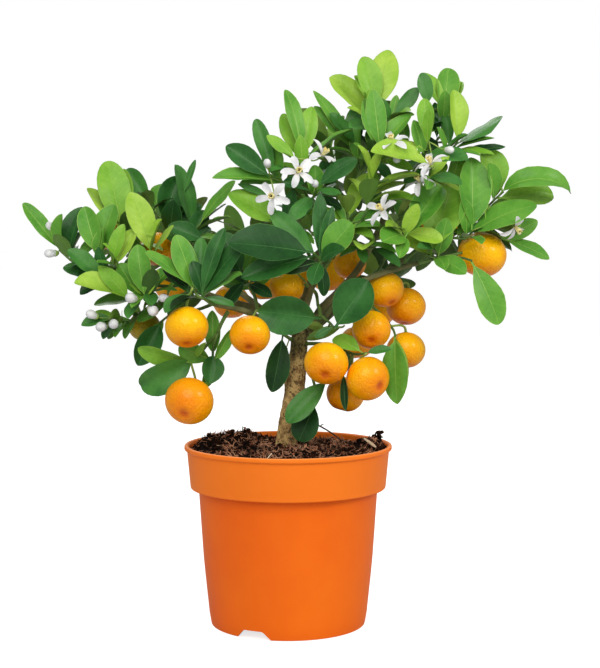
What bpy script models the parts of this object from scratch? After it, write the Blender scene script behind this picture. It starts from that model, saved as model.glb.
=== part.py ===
"""Small orange tree in a plastic nursery pot, with its soil, trunk, boughs and masses of foliage and fruit.

Sizes are in millimetres and MM turns them into metres. The pot stands on z = 0 with its axis on z,
and the side of the crown that carries the hanging fruit faces -Y.
"""

import math
import random
from collections import namedtuple

import bmesh
import bpy
from mathutils import Quaternion, Vector
from mathutils.bvhtree import BVHTree

MM = 0.001
GAP = 0.3  # between two solids that meet
SEED = 7

# Pot: a thin shell with a collar, a rolled lip and a foot ring round a raised floor
POT_HEIGHT = 130.0
LIP_RADIUS = 75.0
LIP_ROLL = 1.6
COLLAR_RADIUS = 73.0
COLLAR_FOOT_RADIUS = 70.6
COLLAR_HEIGHT = 31.0
WALL_TOP_RADIUS = 64.8
WALL_MIDDLE = (61.2, 46.0)  # radius and height where the wall's slope changes
WALL_FOOT_RADIUS = 57.2
FOOT_RADIUS = 55.8
FOOT_HEIGHT = 5.0
WALL = 1.5
FLOOR_HEIGHT = 6.2
HUB_RADIUS = 16.5  # the middle of the floor comes down to the ground
POT_STEPS = 28
NOTCH_AT = (-25.5, 94.5, 214.5)  # degrees from -Y towards +X
NOTCH_WIDTH = 30.0
NOTCH_HEIGHT = 6.0
NOTCH_SLOPE = 0.5  # width at the top as a share of the width at the ground
NOTCH_DEPTH = 8.0
DRAINS = 6
DRAIN_RADIUS = 4.0
DRAIN_CIRCLE = 38.0

# Soil: heaped on the left, flat where the trunk stands
SOIL_CLEAR = 0.5
SOIL_EDGE = 123.5
SEAT_HEIGHT = 128.5
SEAT_RADIUS = 18.0
SEAT_BLEND = 8.0  # from the flat seat to the uneven surface
SOIL_RINGS = (18.0, 31.0, 44.0, 57.0)
SOIL_WAVE = 0.9
SOIL_WAVE_ACROSS = 0.31  # radians to a millimetre along x and along y
SOIL_WAVE_DEEP = 0.27
HEAPS = (  # x, y, radius, height of each heap above the even surface
    (-34.0, 8.0, 21.0, 10.0),
    (-56.0, -2.0, 14.0, 7.0),
    (62.0, 8.0, 10.0, 9.0),
    (18.0, -42.0, 16.0, 3.0),
)

# Trunk: x, y, z and radius from the ground to the fork
TRUNK = (
    (-1.5, 0.0, SEAT_HEIGHT + GAP, 8.6),
    (-1.4, 0.0, 133.0, 7.4),
    (0.0, 0.0, 144.0, 7.1),
    (2.2, 0.0, 155.0, 7.1),
    (4.4, 0.0, 166.0, 7.3),
    (5.0, 0.0, 178.0, 7.6),
    (5.6, 0.0, 187.0, 7.4),
    (7.4, 0.0, 195.0, 6.4),
    (8.2, 0.0, 207.0, 5.8),
    (9.5, 0.0, 221.0, 5.2),
)
TRUNK_SIDES = 10
ROOT_LOBES = 5
ROOT_LOBE_DEPTH = 0.16

# Wood: radii of stems and twigs, and how the paths are divided
BOUGH_SIDES = 6
BOUGH_STEPS = 2
STEM_RADIUS = 1.6
STEM_LEAD = 2.0  # a stem is straight this far from its bough
TWIG_RADIUS = 1.15
TIP_RADIUS = 0.75
STALK_RADIUS = 0.8
TWIG_SIDES = 3
TWIG_CORNERS = 1.2  # how far its corners stand out, against a round twig's radius
TWIG_STEPS = 3
FORK_SHARE = 0.42  # how far from its bough to its shoots a stem forks
LEAN = 0.45  # how much of a side shoot's first direction lies along what carries it
PULL = 0.36  # how long a path keeps its first and last directions, as a share of its length
TWIG_ROOT = 0.7  # sunk into what it grows from
WANDER = 0.06  # sideways drift of a twig as a share of its length

# Leaves
LEAF_ASPECT = 0.5
LEAF_THICKNESS = 0.9
LEAF_RINGS = (0.3, 0.67)  # where the blade has its corners, as shares of its length
LEAF_SHAPE = (0.45, 1.0)  # its width there, as shares of its greatest width
LEAF_ROOT = 0.01  # share of its length sunk past the twig's axis
TIP_LEAF = 1.2  # from a twig's end to its last leaf
INTERNODE = 3.2
SIDE_LEAF_SPACING = 24.0
GOLDEN_ANGLE = 137.5
ARCH = 14.0  # half the angle a set leaf bends through, in degrees
ARCH_RANGE = (0.6, 1.4)
BEND = (14.0, 46.0)  # least and greatest for a leaf of a whorl
FULLNESS = (0.9, 1.13)  # least and greatest share of a leaf's usual width
ROLL = 22.0  # greatest turn about its own axis
SET_ROLL = 14.0
OPENING = 14.0  # of the innermost leaf of a whorl
SIDE_OPENING = 58.0
SIDE_TURN = 60.0  # from the whorl's first leaf to the first leaf below it
SIDE_SHARE = 0.92  # of a shoot's leaf length
WHORL_LENGTHS = (0.82, 0.24)  # outer leaves as a share of the shoot's leaf length, and the others' extra
LENGTH_RANGE = (0.94, 1.08)
DEEPER = (0, 5, -5, 10, -10, 15, -15)  # tried in turn for a set leaf's tip
REACH = 0.56  # of its length, from a leaf's middle to its furthest point
BLADE_FROM = 0.3  # share of a leaf, from its twig, that may cross its own mass
CLEAR = 0.55  # kept between a leaf and what it doesn't grow on
TRIES = (  # turn, opening and share of its length tried in turn for a leaf of a whorl
    (0, 0, 1.0), (18, 0, 1.0), (-18, 0, 1.0), (30, -8, 0.9), (-30, -8, 0.9), (10, -16, 0.8), (-12, 12, 0.8),
)

# Fruit and blossom
FRUIT_HEIGHT = 0.92  # of its width
STALK_SINK = 0.86  # of half its height, where the stalk ends inside the fruit
STALK_RISE = 8.0  # a stalk starts on the twig point nearest to this far above its end
STALK_SAG = 4.0
DIMPLE = 0.93  # of its height, where the fruit is pushed in underneath
BLOSSOM_RADIUS = 12.0
BLOSSOM_SPACE = 0.9  # of that radius, which leaves keep off
BLOSSOM_WAIST = 0.42  # between two petals, as a share of the radius
BLOSSOM_THICKNESS = 1.0
PETALS = 5

Bough = namedtuple("Bough", "name at route radii")
Mass = namedtuple("Mass", "name bough at shoots fruit blossom", defaults=((), ()))
Shoot = namedtuple("Shoot", "foot aim leaves length spread turn tips", defaults=((),))
Fruit = namedtuple("Fruit", "centre radius")
Blossom = namedtuple("Blossom", "centre face")
Leaf = namedtuple("Leaf", "base along face length width bend")
Tube = namedtuple("Tube", "points radii")

# Boughs: where they leave the trunk, from 0 at the ground to 1 at the fork, then the points they pass
BOUGHS = (
    Bough("bough_middle", 1.0, ((13, 3, 238), (24, 6, 262), (38, 8, 292)), (4.0, 2.2)),
    Bough("bough_left", 0.93, ((-14, 2, 226), (-50, 6, 235), (-92, 2, 252)), (3.6, 2.0)),
    Bough("bough_left_front", 0.86, ((-8, -14, 215), (-28, -31, 227), (-50, -42, 233)), (3.0, 1.8)),
    Bough("bough_front", 0.98, ((13, -14, 230), (18, -28, 248), (22, -38, 260)), (2.8, 1.8)),
    Bough("bough_right", 0.96, ((26, 4, 230), (50, 0, 256), (70, -4, 296)), (3.6, 2.0)),
    Bough("bough_right_low", 0.89, ((22, -8, 218), (50, -18, 247), (92, -14, 261)), (3.0, 1.8)),
    Bough("bough_back", 0.91, ((12, 16, 226), (18, 42, 247), (24, 62, 270)), (3.2, 1.9)),
    Bough("bough_back_left", 0.85, ((-6, 14, 217), (-38, 36, 240), (-66, 52, 260)), (3.0, 1.8)),
    Bough("bough_back_right", 0.83, ((22, 13, 215), (52, 36, 240), (86, 48, 262)), (3.0, 1.8)),
)

# Masses: the bough, how far along it the stem starts, its shoots, fruit and blossom
MASSES = (
    Mass(
        "left_tip", "bough_left", 1.0,
        (
            Shoot(
                (-162, -12, 270), (-0.3, -0.4, 0.85), 2, 32, 65, 200,
                ((-27, -4, 32, 12, 0.78), (2, -6, 26), (15, 8, 31)),
            ),
            Shoot((-135, -16, 268), (-0.2, -0.5, 0.85), 1, 33, 60, 20, ((-10, 4, 33), (10, 6, 35))),
            Shoot((-129, -24, 248), (-0.5, -0.5, 0.7), 2, 33, 65, 20, ((-26, -2, 22), (-30, 6, 10))),
        ),
        (Fruit((-128, 12, 280), 11.5),),
    ),
    Mass(
        "left_mid", "bough_left", 0.85,
        (
            Shoot(
                (-112, -26, 235), (-0.4, -0.5, 0.8), 2, 32, 70, 60,
                ((-20, -2, 25), (-36, -4, 13), (-25, 6, -3, 12, 1.2)),
            ),
            Shoot(
                (-100, -30, 237), (0.0, -0.5, 0.85), 2, 32, 70, 60,
                ((-7, 4, 37), (9, -2, 20), (-10, -4, 9)),
            ),
            Shoot((-124, -22, 262), (0.1, -0.5, 0.85), 2, 30, 60, 130, ((8, 0, 27), (16, 4, 24))),
        ),
        (Fruit((-104, 4, 215), 11.5),),
    ),
    Mass(
        "left_top", "bough_left", 0.93,
        (
            Shoot(
                (-120, 0, 286), (-0.1, -0.3, 0.95), 3, 34, 60, 250,
                ((-12, 8, 48), (1, 14, 43), (-24, 6, 29)),
            ),
            Shoot((-96, -18, 267), (-0.1, -0.5, 0.85), 2, 36, 60, 0, ((-13, 4, 45),)),
        ),
        (Fruit((-95, 8, 271), 13.0),),
    ),
    Mass(
        "left_ridge", "bough_left", 0.68,
        (
            Shoot(
                (-63, 4, 289), (0.35, -0.4, 0.85), 2, 32, 60, 40,
                (
                    (25, 0, 31, 14, 0.6), (19, -6, 14, 10, 0.6), (23, -12, 5, 8, 0.6), (-20, 10, 43),
                    (-24, -6, -4),
                ),
            ),
            Shoot(
                (-92, 16, 290), (0.1, -0.8, 0.5), 1, 36, 60, 210,
                ((12, 2, 34, 14, 1.2), (21, -4, 28, 8, 0.9), (22, -8, 0)),
            ),
            Shoot((-101, 14, 302), (-0.3, -0.4, 0.85), 1, 32, 60, 210, ((-15, 6, 28),)),
        ),
    ),
    Mass(
        "left_low", "bough_left", 0.76,
        (
            Shoot(
                (-123, -22, 222), (-0.6, -0.5, 0.3), 1, 25, 70, 30,
                ((-23, 0, -3), (-8, 4, -15, 14, 1.3)),
            ),
            Shoot(
                (-111, -12, 221), (-0.6, -0.5, 0.0), 1, 25, 70, 30,
                ((-18, 0, -13, 14, 1.5), (3, -2, 13)),
            ),
            Shoot((-86, -16, 231), (-0.4, -0.6, 0.5), 1, 28, 70, 90, ((-21, -4, -11),)),
        ),
    ),
    Mass(
        "left_front", "bough_left_front", 1.0,
        (
            Shoot(
                (-65, -50, 245), (0.05, -0.5, 0.85), 1, 32, 70, 80,
                (
                    (-32, 0, 25, 14, 0.75), (-12, 4, 36), (8, 6, 34, 12, 0.6), (22, 4, 41, 14, 0.5),
                    (34, 0, 34, 12, 0.65), (34, -6, 8, 10, 1.15),
                ),
            ),
            Shoot((-68, -44, 240), (-0.3, -0.6, 0.6), 0, 32, 70, 80, ((-19, 6, 18), (-15, -8, -12))),
        ),
        (Fruit((-69, -53, 218), 15.0),),
    ),
    Mass(
        "left_hang", "bough_left_front", 0.82,
        (
            Shoot(
                (-52, -32, 190), (0.2, -1.0, -0.3), 0, 30, 50, 100,
                ((12, -2, 27, 10, 0.7), (-24, 0, 14, 12, 1.5), (0, 8, 38, 14, 0.7), (-2, -5, -13, 10, 1.4)),
            ),
            Shoot(
                (-68, -30, 192), (-0.5, -0.8, -0.3), 0, 30, 60, 0,
                ((-37, -6, 9, 10, 1.1), (-36, -4, -16, 24, 1.3)),
            ),
        ),
        (Fruit((-68, -44, 166), 17.0),),
    ),
    Mass(
        "left_under", "bough_left", 0.55,
        (Shoot((-91, -12, 219), (-0.4, -0.3, -0.8), 2, 30, 60, 90, ((-16, -2, -31),)),),
    ),
    Mass(
        "left_inner", "bough_left_front", 0.5,
        (
            Shoot(
                (-32, -36, 254), (-0.1, -0.8, 0.3), 2, 32, 80, 150,
                ((-14, 4, 28), (14, 2, 24), (-12, -4, -22), (22, -4, -15)),
            ),
        ),
        (Fruit((-26, -44, 212), 14.0),),
    ),
    Mass(
        "centre_left", "bough_middle", 0.82,
        (
            Shoot(
                (-12, -22, 321), (-0.3, -0.8, 0.5), 0, 34, 65, 90,
                (
                    (-31, 2, 23, 10, 0.75), (-10, 10, 42, 10, 0.62), (-41, -4, 1, 6, 0.6),
                    (-3, 4, 30, 10, 0.9), (-22, 6, -4, 10, 0.6),
                ),
            ),
            Shoot(
                (9, -14, 339), (0.0, -0.4, 0.9), 2, 34, 60, 10,
                ((-9, 8, 45, 12, 0.75), (9, 4, 33, 10, 0.9), (-14, 12, 28, 10, 0.7), (37, 0, 16, 12, 0.6)),
            ),
            Shoot(
                (21, -32, 315), (0.2, -0.6, 0.7), 2, 30, 70, 60,
                ((27, 0, 19), (16, -4, -7), (-28, -6, -1, 10, 0.5), (-19, -8, -25)),
            ),
        ),
        (),
        (Blossom((-10, -46, 307), (-0.2, -1.0, 0.1)), Blossom((7, -44, 324), (0.2, -1.0, 0.3))),
    ),
    Mass(
        "centre_front", "bough_front", 1.0,
        (
            Shoot(
                (18, -48, 269), (0.0, -0.9, 0.45), 1, 38, 80, 130,
                (
                    (-59, -4, 7, 8, 1.1), (-50, -8, -17, 8, 0.75), (-30, 8, 28, 10, 0.7),
                    (4, 14, 41, 10, 0.6), (13, 10, 32, 10, 0.6), (27, 2, 20, 10, 1.3),
                    (-2, -12, -22, 14, 1.2),
                ),
            ),
        ),
    ),
    Mass(
        "centre_right_front", "bough_front", 0.85,
        (
            Shoot((63, -30, 274), (0.1, -0.6, 0.75), 3, 32, 72, 40, ((-16, 4, 15), (15, -8, -15))),
            Shoot(
                (59, -34, 317), (0.05, -0.3, 0.95), 2, 34, 66, 220,
                ((-11, 0, 26), (8, -2, 22), (33, -4, 5), (27, 8, 0), (34, 2, -14)),
            ),
            Shoot((42, -22, 296), (-0.1, -0.5, 0.85), 4, 34, 66, 220),
        ),
    ),
    Mass(
        "centre_low", "bough_middle", 0.5,
        (
            Shoot((-3, -22, 287), (-0.3, -0.6, 0.75), 3, 34, 70, 200, ((-39, 2, 23), (7, 10, 26))),
            Shoot((6, 22, 300), (-0.4, 0.3, 0.85), 4, 36, 62, 110),
        ),
    ),
    Mass(
        "top", "bough_middle", 1.0,
        (
            Shoot(
                (64, 4, 373), (0.0, -0.6, 0.75), 3, 34, 58, 60,
                ((-10, 6, 36), (8, 10, 42), (-17, 4, 22), (-34, 12, 22)),
            ),
            Shoot(
                (49, 4, 346), (-0.3, -0.45, 0.85), 2, 34, 62, 0,
                ((-19, -4, 22, 12, 0.9), (-32, 4, 38, 12, 0.5), (-31, -6, 27, 8, 0.7), (2, 6, 32, 12, 0.8)),
            ),
            Shoot(
                (65, -22, 341), (0.1, -0.5, 0.8), 2, 34, 66, 200,
                ((-6, 6, 42, 12, 0.78), (-11, -2, 36), (23, 6, 24), (7, -8, -22)),
            ),
            Shoot(
                (76, -2, 367), (0.2, -0.7, 0.5), 1, 32, 58, 60,
                ((18, 2, 18, 4, 0.9), (2, 6, 14, 8, 1.0)),
            ),
        ),
    ),
    Mass(
        "top_right", "bough_right", 1.0,
        (
            Shoot(
                (113, 5, 370), (0.0, -0.7, 0.6), 2, 32, 56, 200,
                ((-17, 2, 27, 8, 0.8), (1, 8, 32), (12, 12, 22, 10, 0.9)),
            ),
            Shoot(
                (121, -8, 347), (0.3, -0.4, 0.85), 2, 32, 64, 300,
                (
                    (-4, 4, 37, 12, 0.85), (33, 2, 17, 3, 0.8), (25, -6, 2, 4, 0.7), (25, -8, -9, 8, 0.8),
                    (-16, -4, 10),
                ),
            ),
            Shoot(
                (99, -22, 346), (-0.1, -0.5, 0.8), 2, 32, 66, 60,
                ((-3, 8, 31), (-1, -4, 23, 8, 0.7), (-26, -2, -2, 10, 0.8), (27, -8, -13)),
            ),
        ),
        (),
        (Blossom((98, -50, 329), (0.1, -1.0, 0.3)),),
    ),
    Mass(
        "right_mid", "bough_right", 0.84,
        (
            Shoot((101, -34, 330), (0.2, -0.6, 0.7), 3, 32, 74, 120, ((-44, -6, 8), (-20, -4, -13))),
            Shoot((81, -38, 278), (0.2, -0.7, 0.6), 3, 34, 74, 200, ((27, 8, 37),)),
            Shoot((114, 2, 312), (0.4, -0.2, 0.85), 4, 36, 62, 45),
        ),
        (),
        (Blossom((65, -52, 298), (0.1, -1.0, 0.1)),),
    ),
    Mass(
        "right_up", "bough_right_low", 0.9,
        (
            Shoot((130, -20, 284), (0.15, -0.55, 0.8), 3, 36, 66, 100, ((-1, 10, 52), (45, -2, 18))),
            Shoot(
                (154, -4, 312), (0.2, -0.7, 0.65), 2, 36, 60, 260,
                ((-11, 6, 32, 10, 1.2), (47, 0, 1, 60, 0.72), (37, 10, -2)),
            ),
        ),
    ),
    Mass(
        "right_low", "bough_right_low", 1.0,
        (
            Shoot(
                (99, -24, 267), (0.1, -0.6, 0.75), 1, 38, 70, 20,
                ((20, 8, 53), (-36, -2, 11), (26, -6, -13, 10, 1.3)),
            ),
            Shoot((129, -28, 263), (0.4, -0.9, 0.1), 0, 34, 50, 0, ((20, -4, -44, 16, 1.0),)),
            Shoot((153, -6, 279), (0.6, -0.5, 0.4), 0, 34, 66, 200, ((34, 0, -15), (25, 2, 13))),
        ),
        (Fruit((139, -4, 267), 17.5),),
    ),
    Mass(
        "fruit_low", "trunk", 0.77,
        (Shoot((55, -38, 199), (0.2, -0.8, 0.5), 0, 30, 70, 200, ((17, -3, 3, 8, 0.9), (-22, 8, 10))),),
        (
            Fruit((27, -40, 192), 15.3),
            Fruit((56, -36, 181), 15.5),
            Fruit((41, -8, 167), 13.6),
        ),
    ),
    Mass(
        "fruit_right", "bough_right", 0.34,
        (
            Shoot(
                (76, -24, 210), (-0.3, -1.0, 0.1), 0, 36, 60, 120,
                ((1, -4, -48, 10, 0.85), (8, 5, -37, 14, 0.6)),
            ),
        ),
        (
            Fruit((59, -20, 214), 13.8),
            Fruit((70, -6, 242), 13.2),
            Fruit((86, 14, 229), 14.8),
            Fruit((85, 2, 198), 14.2),
        ),
    ),
    Mass(
        "fruit_inner", "bough_middle", 0.25,
        (
            Shoot(
                (33, -44, 216), (0.1, -0.9, 0.2), 0, 34, 70, 100,
                ((22, 0, 34, 12, 1.3), (-14, 4, -6, 8, 1.1)),
            ),
            Shoot((23, -38, 223), (-0.1, -1.0, 0.1), 0, 34, 70, 0, ((-43, -5, 7, 6, 1.2),)),
        ),
        (
            Fruit((-1, -22, 244), 12.6),
            Fruit((-17, 4, 245), 12.0),
            Fruit((45, 18, 260), 12.0),
        ),
    ),
    Mass(
        "trunk_shoot", "trunk", 0.6,
        (
            Shoot((30, -20, 179), (-0.4, -0.8, 0.2), 0, 36, 60, 20, ((-31, -6, -30, 12, 1.15),)),
            Shoot((20, -14, 160), (-0.2, -0.8, -0.1), 0, 36, 60, 100, ((-12, -2, -26, 10, 1.5),)),
        ),
    ),
    Mass(
        "trunk_leaf", "trunk", 0.8,
        (Shoot((-4, -10, 210), (0.3, -0.8, -0.3), 0, 34, 60, 100, ((-8, -3, -41, 16, 0.95),)),),
    ),
    Mass(
        "back_top", "bough_back", 1.0,
        (
            Shoot((32, 48, 346), (-0.1, 0.3, 1.0), 5, 40, 62, 0),
            Shoot((74, 52, 344), (0.1, 0.4, 0.95), 5, 40, 62, 90),
            Shoot((50, 82, 318), (0.0, 0.8, 0.6), 6, 41, 70, 45),
        ),
    ),
    Mass(
        "back_centre", "bough_back", 0.82,
        (
            Shoot((12, 92, 290), (-0.2, 0.9, 0.4), 5, 40, 70, 20),
            Shoot((48, 98, 272), (0.3, 0.9, 0.1), 5, 40, 70, 160),
        ),
        (Fruit((30, 84, 250), 14.0), Fruit((6, 66, 244), 13.5)),
    ),
    Mass(
        "back_left", "bough_back_left", 1.0,
        (
            Shoot((-84, 56, 288), (-0.2, 0.3, 0.95), 5, 38, 62, 0),
            Shoot((-108, 48, 274), (-0.7, 0.4, 0.6), 5, 38, 66, 70),
            Shoot((-86, 84, 272), (-0.4, 0.9, 0.35), 5, 40, 70, 130),
        ),
        (Fruit((-88, 64, 244), 14.5),),
    ),
    Mass(
        "back_left_low", "bough_back_left", 0.74,
        (
            Shoot((-40, 84, 262), (-0.2, 0.95, 0.3), 5, 40, 70, 40),
            Shoot((-22, 62, 284), (0.0, 0.5, 0.9), 5, 38, 66, 190),
        ),
        (Fruit((-44, 72, 230), 14.0),),
    ),
    Mass(
        "back_right", "bough_back_right", 1.0,
        (
            Shoot((118, 52, 316), (0.3, 0.35, 0.9), 5, 40, 62, 0),
            Shoot((144, 44, 290), (0.85, 0.3, 0.5), 5, 42, 66, 120),
            Shoot((108, 86, 280), (0.3, 0.9, 0.35), 5, 41, 70, 240),
        ),
        (Fruit((116, 64, 290), 15.0),),
    ),
    Mass(
        "back_right_low", "bough_back_right", 0.7,
        (
            Shoot((72, 84, 240), (0.2, 0.95, -0.1), 5, 40, 70, 80),
            Shoot((84, 54, 292), (0.1, 0.5, 0.9), 5, 38, 66, 10),
        ),
        (Fruit((70, 62, 226), 14.0), Fruit((52, 54, 200), 13.5)),
    ),
)


# Growth rules


def mm(point):
    return Vector(point) * MM


def smooth(points, steps):
    """Points of the Catmull-Rom curve through points, steps to a stretch."""
    ends = [points[0] * 2 - points[1], *points, points[-1] * 2 - points[-2]]
    made = []
    for before, here, there, after in zip(ends, ends[1:], ends[2:], ends[3:]):
        for step in range(steps):
            t = step / steps
            made.append(
                0.5
                * (
                    2 * here
                    + (there - before) * t
                    + (2 * before - 5 * here + 4 * there - after) * t**2
                    + (3 * here - before - 3 * there + after) * t**3
                )
            )
    return [*made, points[-1]]


def tapered(points, first, last):
    """A tube whose radius falls evenly from first to last millimetres."""
    count = len(points) - 1
    return Tube(points, [(first + (last - first) * i / count) * MM for i in range(count + 1)])


def length_of(tube):
    return sum((b - a).length for a, b in zip(tube.points, tube.points[1:]))


def place_on(tube, share):
    """The point, direction and radius at a share of the tube's length."""
    lengths = [(b - a).length for a, b in zip(tube.points, tube.points[1:])]
    left = share * sum(lengths)
    for i, length in enumerate(lengths):
        if left <= length or i == len(lengths) - 1:
            t = min(1.0, left / length)
            radius = tube.radii[i] + (tube.radii[i + 1] - tube.radii[i]) * t
            along = (tube.points[i + 1] - tube.points[i]).normalized()
            return tube.points[i].lerp(tube.points[i + 1], t), along, radius
        left -= length
    raise ValueError("share lies between 0 and 1")


def start_on(carrier, share, towards, radius):
    """Where a limb that meets its carrier GAP clear begins, and its first direction."""
    point, along, carrier_radius = place_on(carrier, share)
    if share == 1.0:
        return point + along * GAP * MM, along
    aim = (towards - point).normalized()
    sideways = aim - along * aim.dot(along)
    leaving = (sideways.normalized() + along * LEAN).normalized()
    cosine = abs(leaving.dot(along))
    sine = math.sqrt(1 - cosine**2)
    reach = (carrier_radius + GAP * MM + radius * cosine) / sine
    return point + leaving * reach, leaving


def arch(start, leaving, end, arriving, steps):
    """A path that leaves start one way and arrives at end another."""
    pull = (end - start).length * PULL
    first, second = start + leaving * pull, end - arriving * pull
    path = []
    for step in range(steps + 1):
        t = step / steps
        rest = 1 - t
        path.append(
            start * rest**3 + first * (3 * rest**2 * t) + second * (3 * rest * t**2) + end * t**3
        )
    return path


def trunk_tube():
    return Tube([mm(row[:3]) for row in TRUNK], [row[3] * MM for row in TRUNK])


def bough_tube(bough, trunk):
    route = [mm(p) for p in bough.route]
    start, leaving = start_on(trunk, bough.at, route[0], bough.radii[0] * MM)
    first = start + leaving * (bough.radii[0] * MM)
    return tapered([start, *smooth([first, *route], BOUGH_STEPS)], *bough.radii)


def grow_twigs(mass, carrier, draw):
    """The mass's stem, then one twig to each shoot's foot. Each twig starts at the stem's fork."""
    feet = [mm(shoot.foot) for shoot in mass.shoots]
    middle = sum(feet, Vector()) / len(feet)
    start, leaving = start_on(carrier, mass.at, middle, STEM_RADIUS * MM)
    straight = start + leaving * STEM_LEAD * MM
    if len(feet) == 1:
        path = arch(straight, leaving, feet[0], Vector(mass.shoots[0].aim).normalized(), TWIG_STEPS)
        return [tapered([start, *path], STEM_RADIUS, TIP_RADIUS)]
    fork = start.lerp(middle, FORK_SHARE)
    onward = (middle - start).normalized()
    path = arch(straight, leaving, fork, onward, TWIG_STEPS - 1)
    twigs = [tapered([start, *path], STEM_RADIUS, TWIG_RADIUS)]
    for shoot, foot in zip(mass.shoots, feet):
        root, arriving = fork - onward * TWIG_ROOT * MM, Vector(shoot.aim).normalized()
        path = arch(root, onward, foot, arriving, TWIG_STEPS)
        reach = (foot - fork).length * WANDER
        for point in path[1:-1]:
            point += Vector([draw.uniform(-reach, reach) for _ in range(3)])
        twigs.append(tapered(path, TWIG_RADIUS, TIP_RADIUS))
    return twigs


def grow_stalk(twigs, end, arriving):
    """A thin stalk from the nearest twig to end."""
    points = [p for twig in twigs for p in twig.points[1:]]
    root = min(points, key=lambda p: (p - end - mm((0, 0, STALK_RISE))).length)
    leaving = (end - root + mm((0, 0, STALK_SAG))).normalized()
    return tapered(arch(root, leaving, end, arriving, TWIG_STEPS - 1), STALK_RADIUS, STALK_RADIUS)


def leaf_point(leaf, t, across, lift):
    """The point t of the way from the twig to the tip, across and lift metres from the blade's middle."""
    angle = leaf.bend * t
    reach, drop = math.sin(angle) / leaf.bend, (1 - math.cos(angle)) / leaf.bend
    side = leaf.along.cross(leaf.face)
    up = leaf.face * math.cos(angle) + leaf.along * math.sin(angle)
    return leaf.base + (leaf.along * reach - leaf.face * drop) * leaf.length + side * across + up * lift


def leaf_on(shoot_end, aim, turn, opening, length, draw):
    """A leaf that leaves the shoot at opening degrees, its upper side towards the shoot's tip."""
    across = aim.orthogonal().normalized()
    other = aim.cross(across)
    outward = across * math.cos(math.radians(turn)) + other * math.sin(math.radians(turn))
    angle = math.radians(opening)
    along = (aim * math.cos(angle) + outward * math.sin(angle)).normalized()
    face = (aim * math.sin(angle) - outward * math.cos(angle)).normalized()
    roll = math.radians(draw.uniform(-ROLL, ROLL))
    side = along.cross(face)
    face = (face * math.cos(roll) + side * math.sin(roll)).normalized()
    width = length * LEAF_ASPECT * draw.uniform(*FULLNESS)
    return Leaf(shoot_end, along, face, length * MM, width * MM, math.radians(draw.uniform(*BEND)))


def leaf_to(foot, tip, aim, arching, fullness, draw):
    """A leaf from foot that arches over to tip, its upper side towards aim."""
    chord = (tip - foot).normalized()
    side = chord.cross(aim).normalized()
    face = side.cross(chord)
    roll = math.radians(draw.uniform(-SET_ROLL, SET_ROLL))
    face = (face * math.cos(roll) + side * math.sin(roll)).normalized()
    half = math.radians(arching * draw.uniform(*ARCH_RANGE))
    length = (tip - foot).length * half / math.sin(half)
    width = length * LEAF_ASPECT * fullness * draw.uniform(*FULLNESS)
    along = chord * math.cos(half) + face * math.sin(half)
    face = face * math.cos(half) - chord * math.sin(half)
    return Leaf(foot, along, face, length, width, 2 * half)


def ring_faces(rings, sides):
    """Triangles between a first point, rings of so many sides, and a last point."""
    last = rings * sides + 1
    faces = []
    for i in range(sides):
        j = (i + 1) % sides
        faces.append((0, 1 + j, 1 + i))
        for ring in range(rings - 1):
            a, b = 1 + ring * sides + i, 1 + ring * sides + j
            faces += [(a, b, b + sides), (a, b + sides, a + sides)]
        faces.append((last, last - sides + i, last - sides + j))
    return faces


def leaf_shell(leaf, first, clear):
    """A closed shell clear metres round the blade from first to its tip."""
    points = [leaf_point(leaf, first, 0, 0)]
    for t, share in zip(LEAF_RINGS, LEAF_SHAPE):
        half = leaf.width / 2 * share + clear
        corners = ((half, 0), (0, clear), (-half, 0), (0, -LEAF_THICKNESS * MM - clear))
        points += [leaf_point(leaf, t, across, lift) for across, lift in corners]
    points.append(leaf_point(leaf, 1 + clear / leaf.length, 0, 0))
    return BVHTree.FromPolygons(points, ring_faces(2, 4))


def tube_shell(tube):
    """A four-sided closed shell CLEAR round a tube."""
    points = [tube.points[0]]
    for i, (point, radius) in enumerate(zip(tube.points, tube.radii)):
        along = tube.points[min(i + 1, len(tube.points) - 1)] - tube.points[max(i - 1, 0)]
        across = along.orthogonal().normalized() * (radius + CLEAR * MM)
        other = along.normalized().cross(across)
        points += [point + across, point + other, point - across, point - other]
    points.append(tube.points[-1])
    return BVHTree.FromPolygons(points, ring_faces(len(tube.points), 4))


class Crown:
    """What has grown so far. A new leaf is taken only where it stays clear of the other masses and the
    limbs, and where its blade crosses no blade, stem or fruit of its own mass."""

    def __init__(self):
        self.tubes = []  # owner, middle, reach, shell
        self.fruit = []  # owner, centre, radius
        self.leaves = []  # owner, middle, reach, whole shell, blade

    def add_tube(self, owner, tube):
        middle = (tube.points[0] + tube.points[-1]) / 2
        reach = max((p - middle).length for p in tube.points) + max(tube.radii) + CLEAR * MM
        self.tubes.append((owner, middle, reach, tube_shell(tube)))

    def takes(self, mass, leaf):
        """Adds the leaf and says True, unless its place is taken."""
        middle, reach = leaf_point(leaf, 0.5, 0, 0), leaf.length * REACH
        whole, blade = leaf_shell(leaf, 0.0, CLEAR * MM), leaf_shell(leaf, BLADE_FROM, 0.0)
        for owner, centre, size, shell in self.tubes:
            if (centre - middle).length < size + reach and owner != mass and whole.overlap(shell):
                return False
        for owner, centre, radius in self.fruit:
            if (centre - middle).length < radius + reach:
                shell, clear = (blade, 0) if owner == mass else (whole, CLEAR * MM)
                if shell.find_nearest(centre)[3] < radius + clear:
                    return False
        for owner, centre, size, other_whole, other_blade in self.leaves:
            if (centre - middle).length < size + reach:
                if blade.overlap(other_blade) if owner == mass else whole.overlap(other_whole):
                    return False
        self.leaves.append((mass, middle, reach, whole, blade))
        return True


def leaf_base(twig, number):
    """Where the leaf of that number, counted back from the twig's end, grows out of it."""
    back = (TIP_LEAF + number * INTERNODE) * MM
    return place_on(twig, 1 - min(0.8, back / length_of(twig)))[0]


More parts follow.
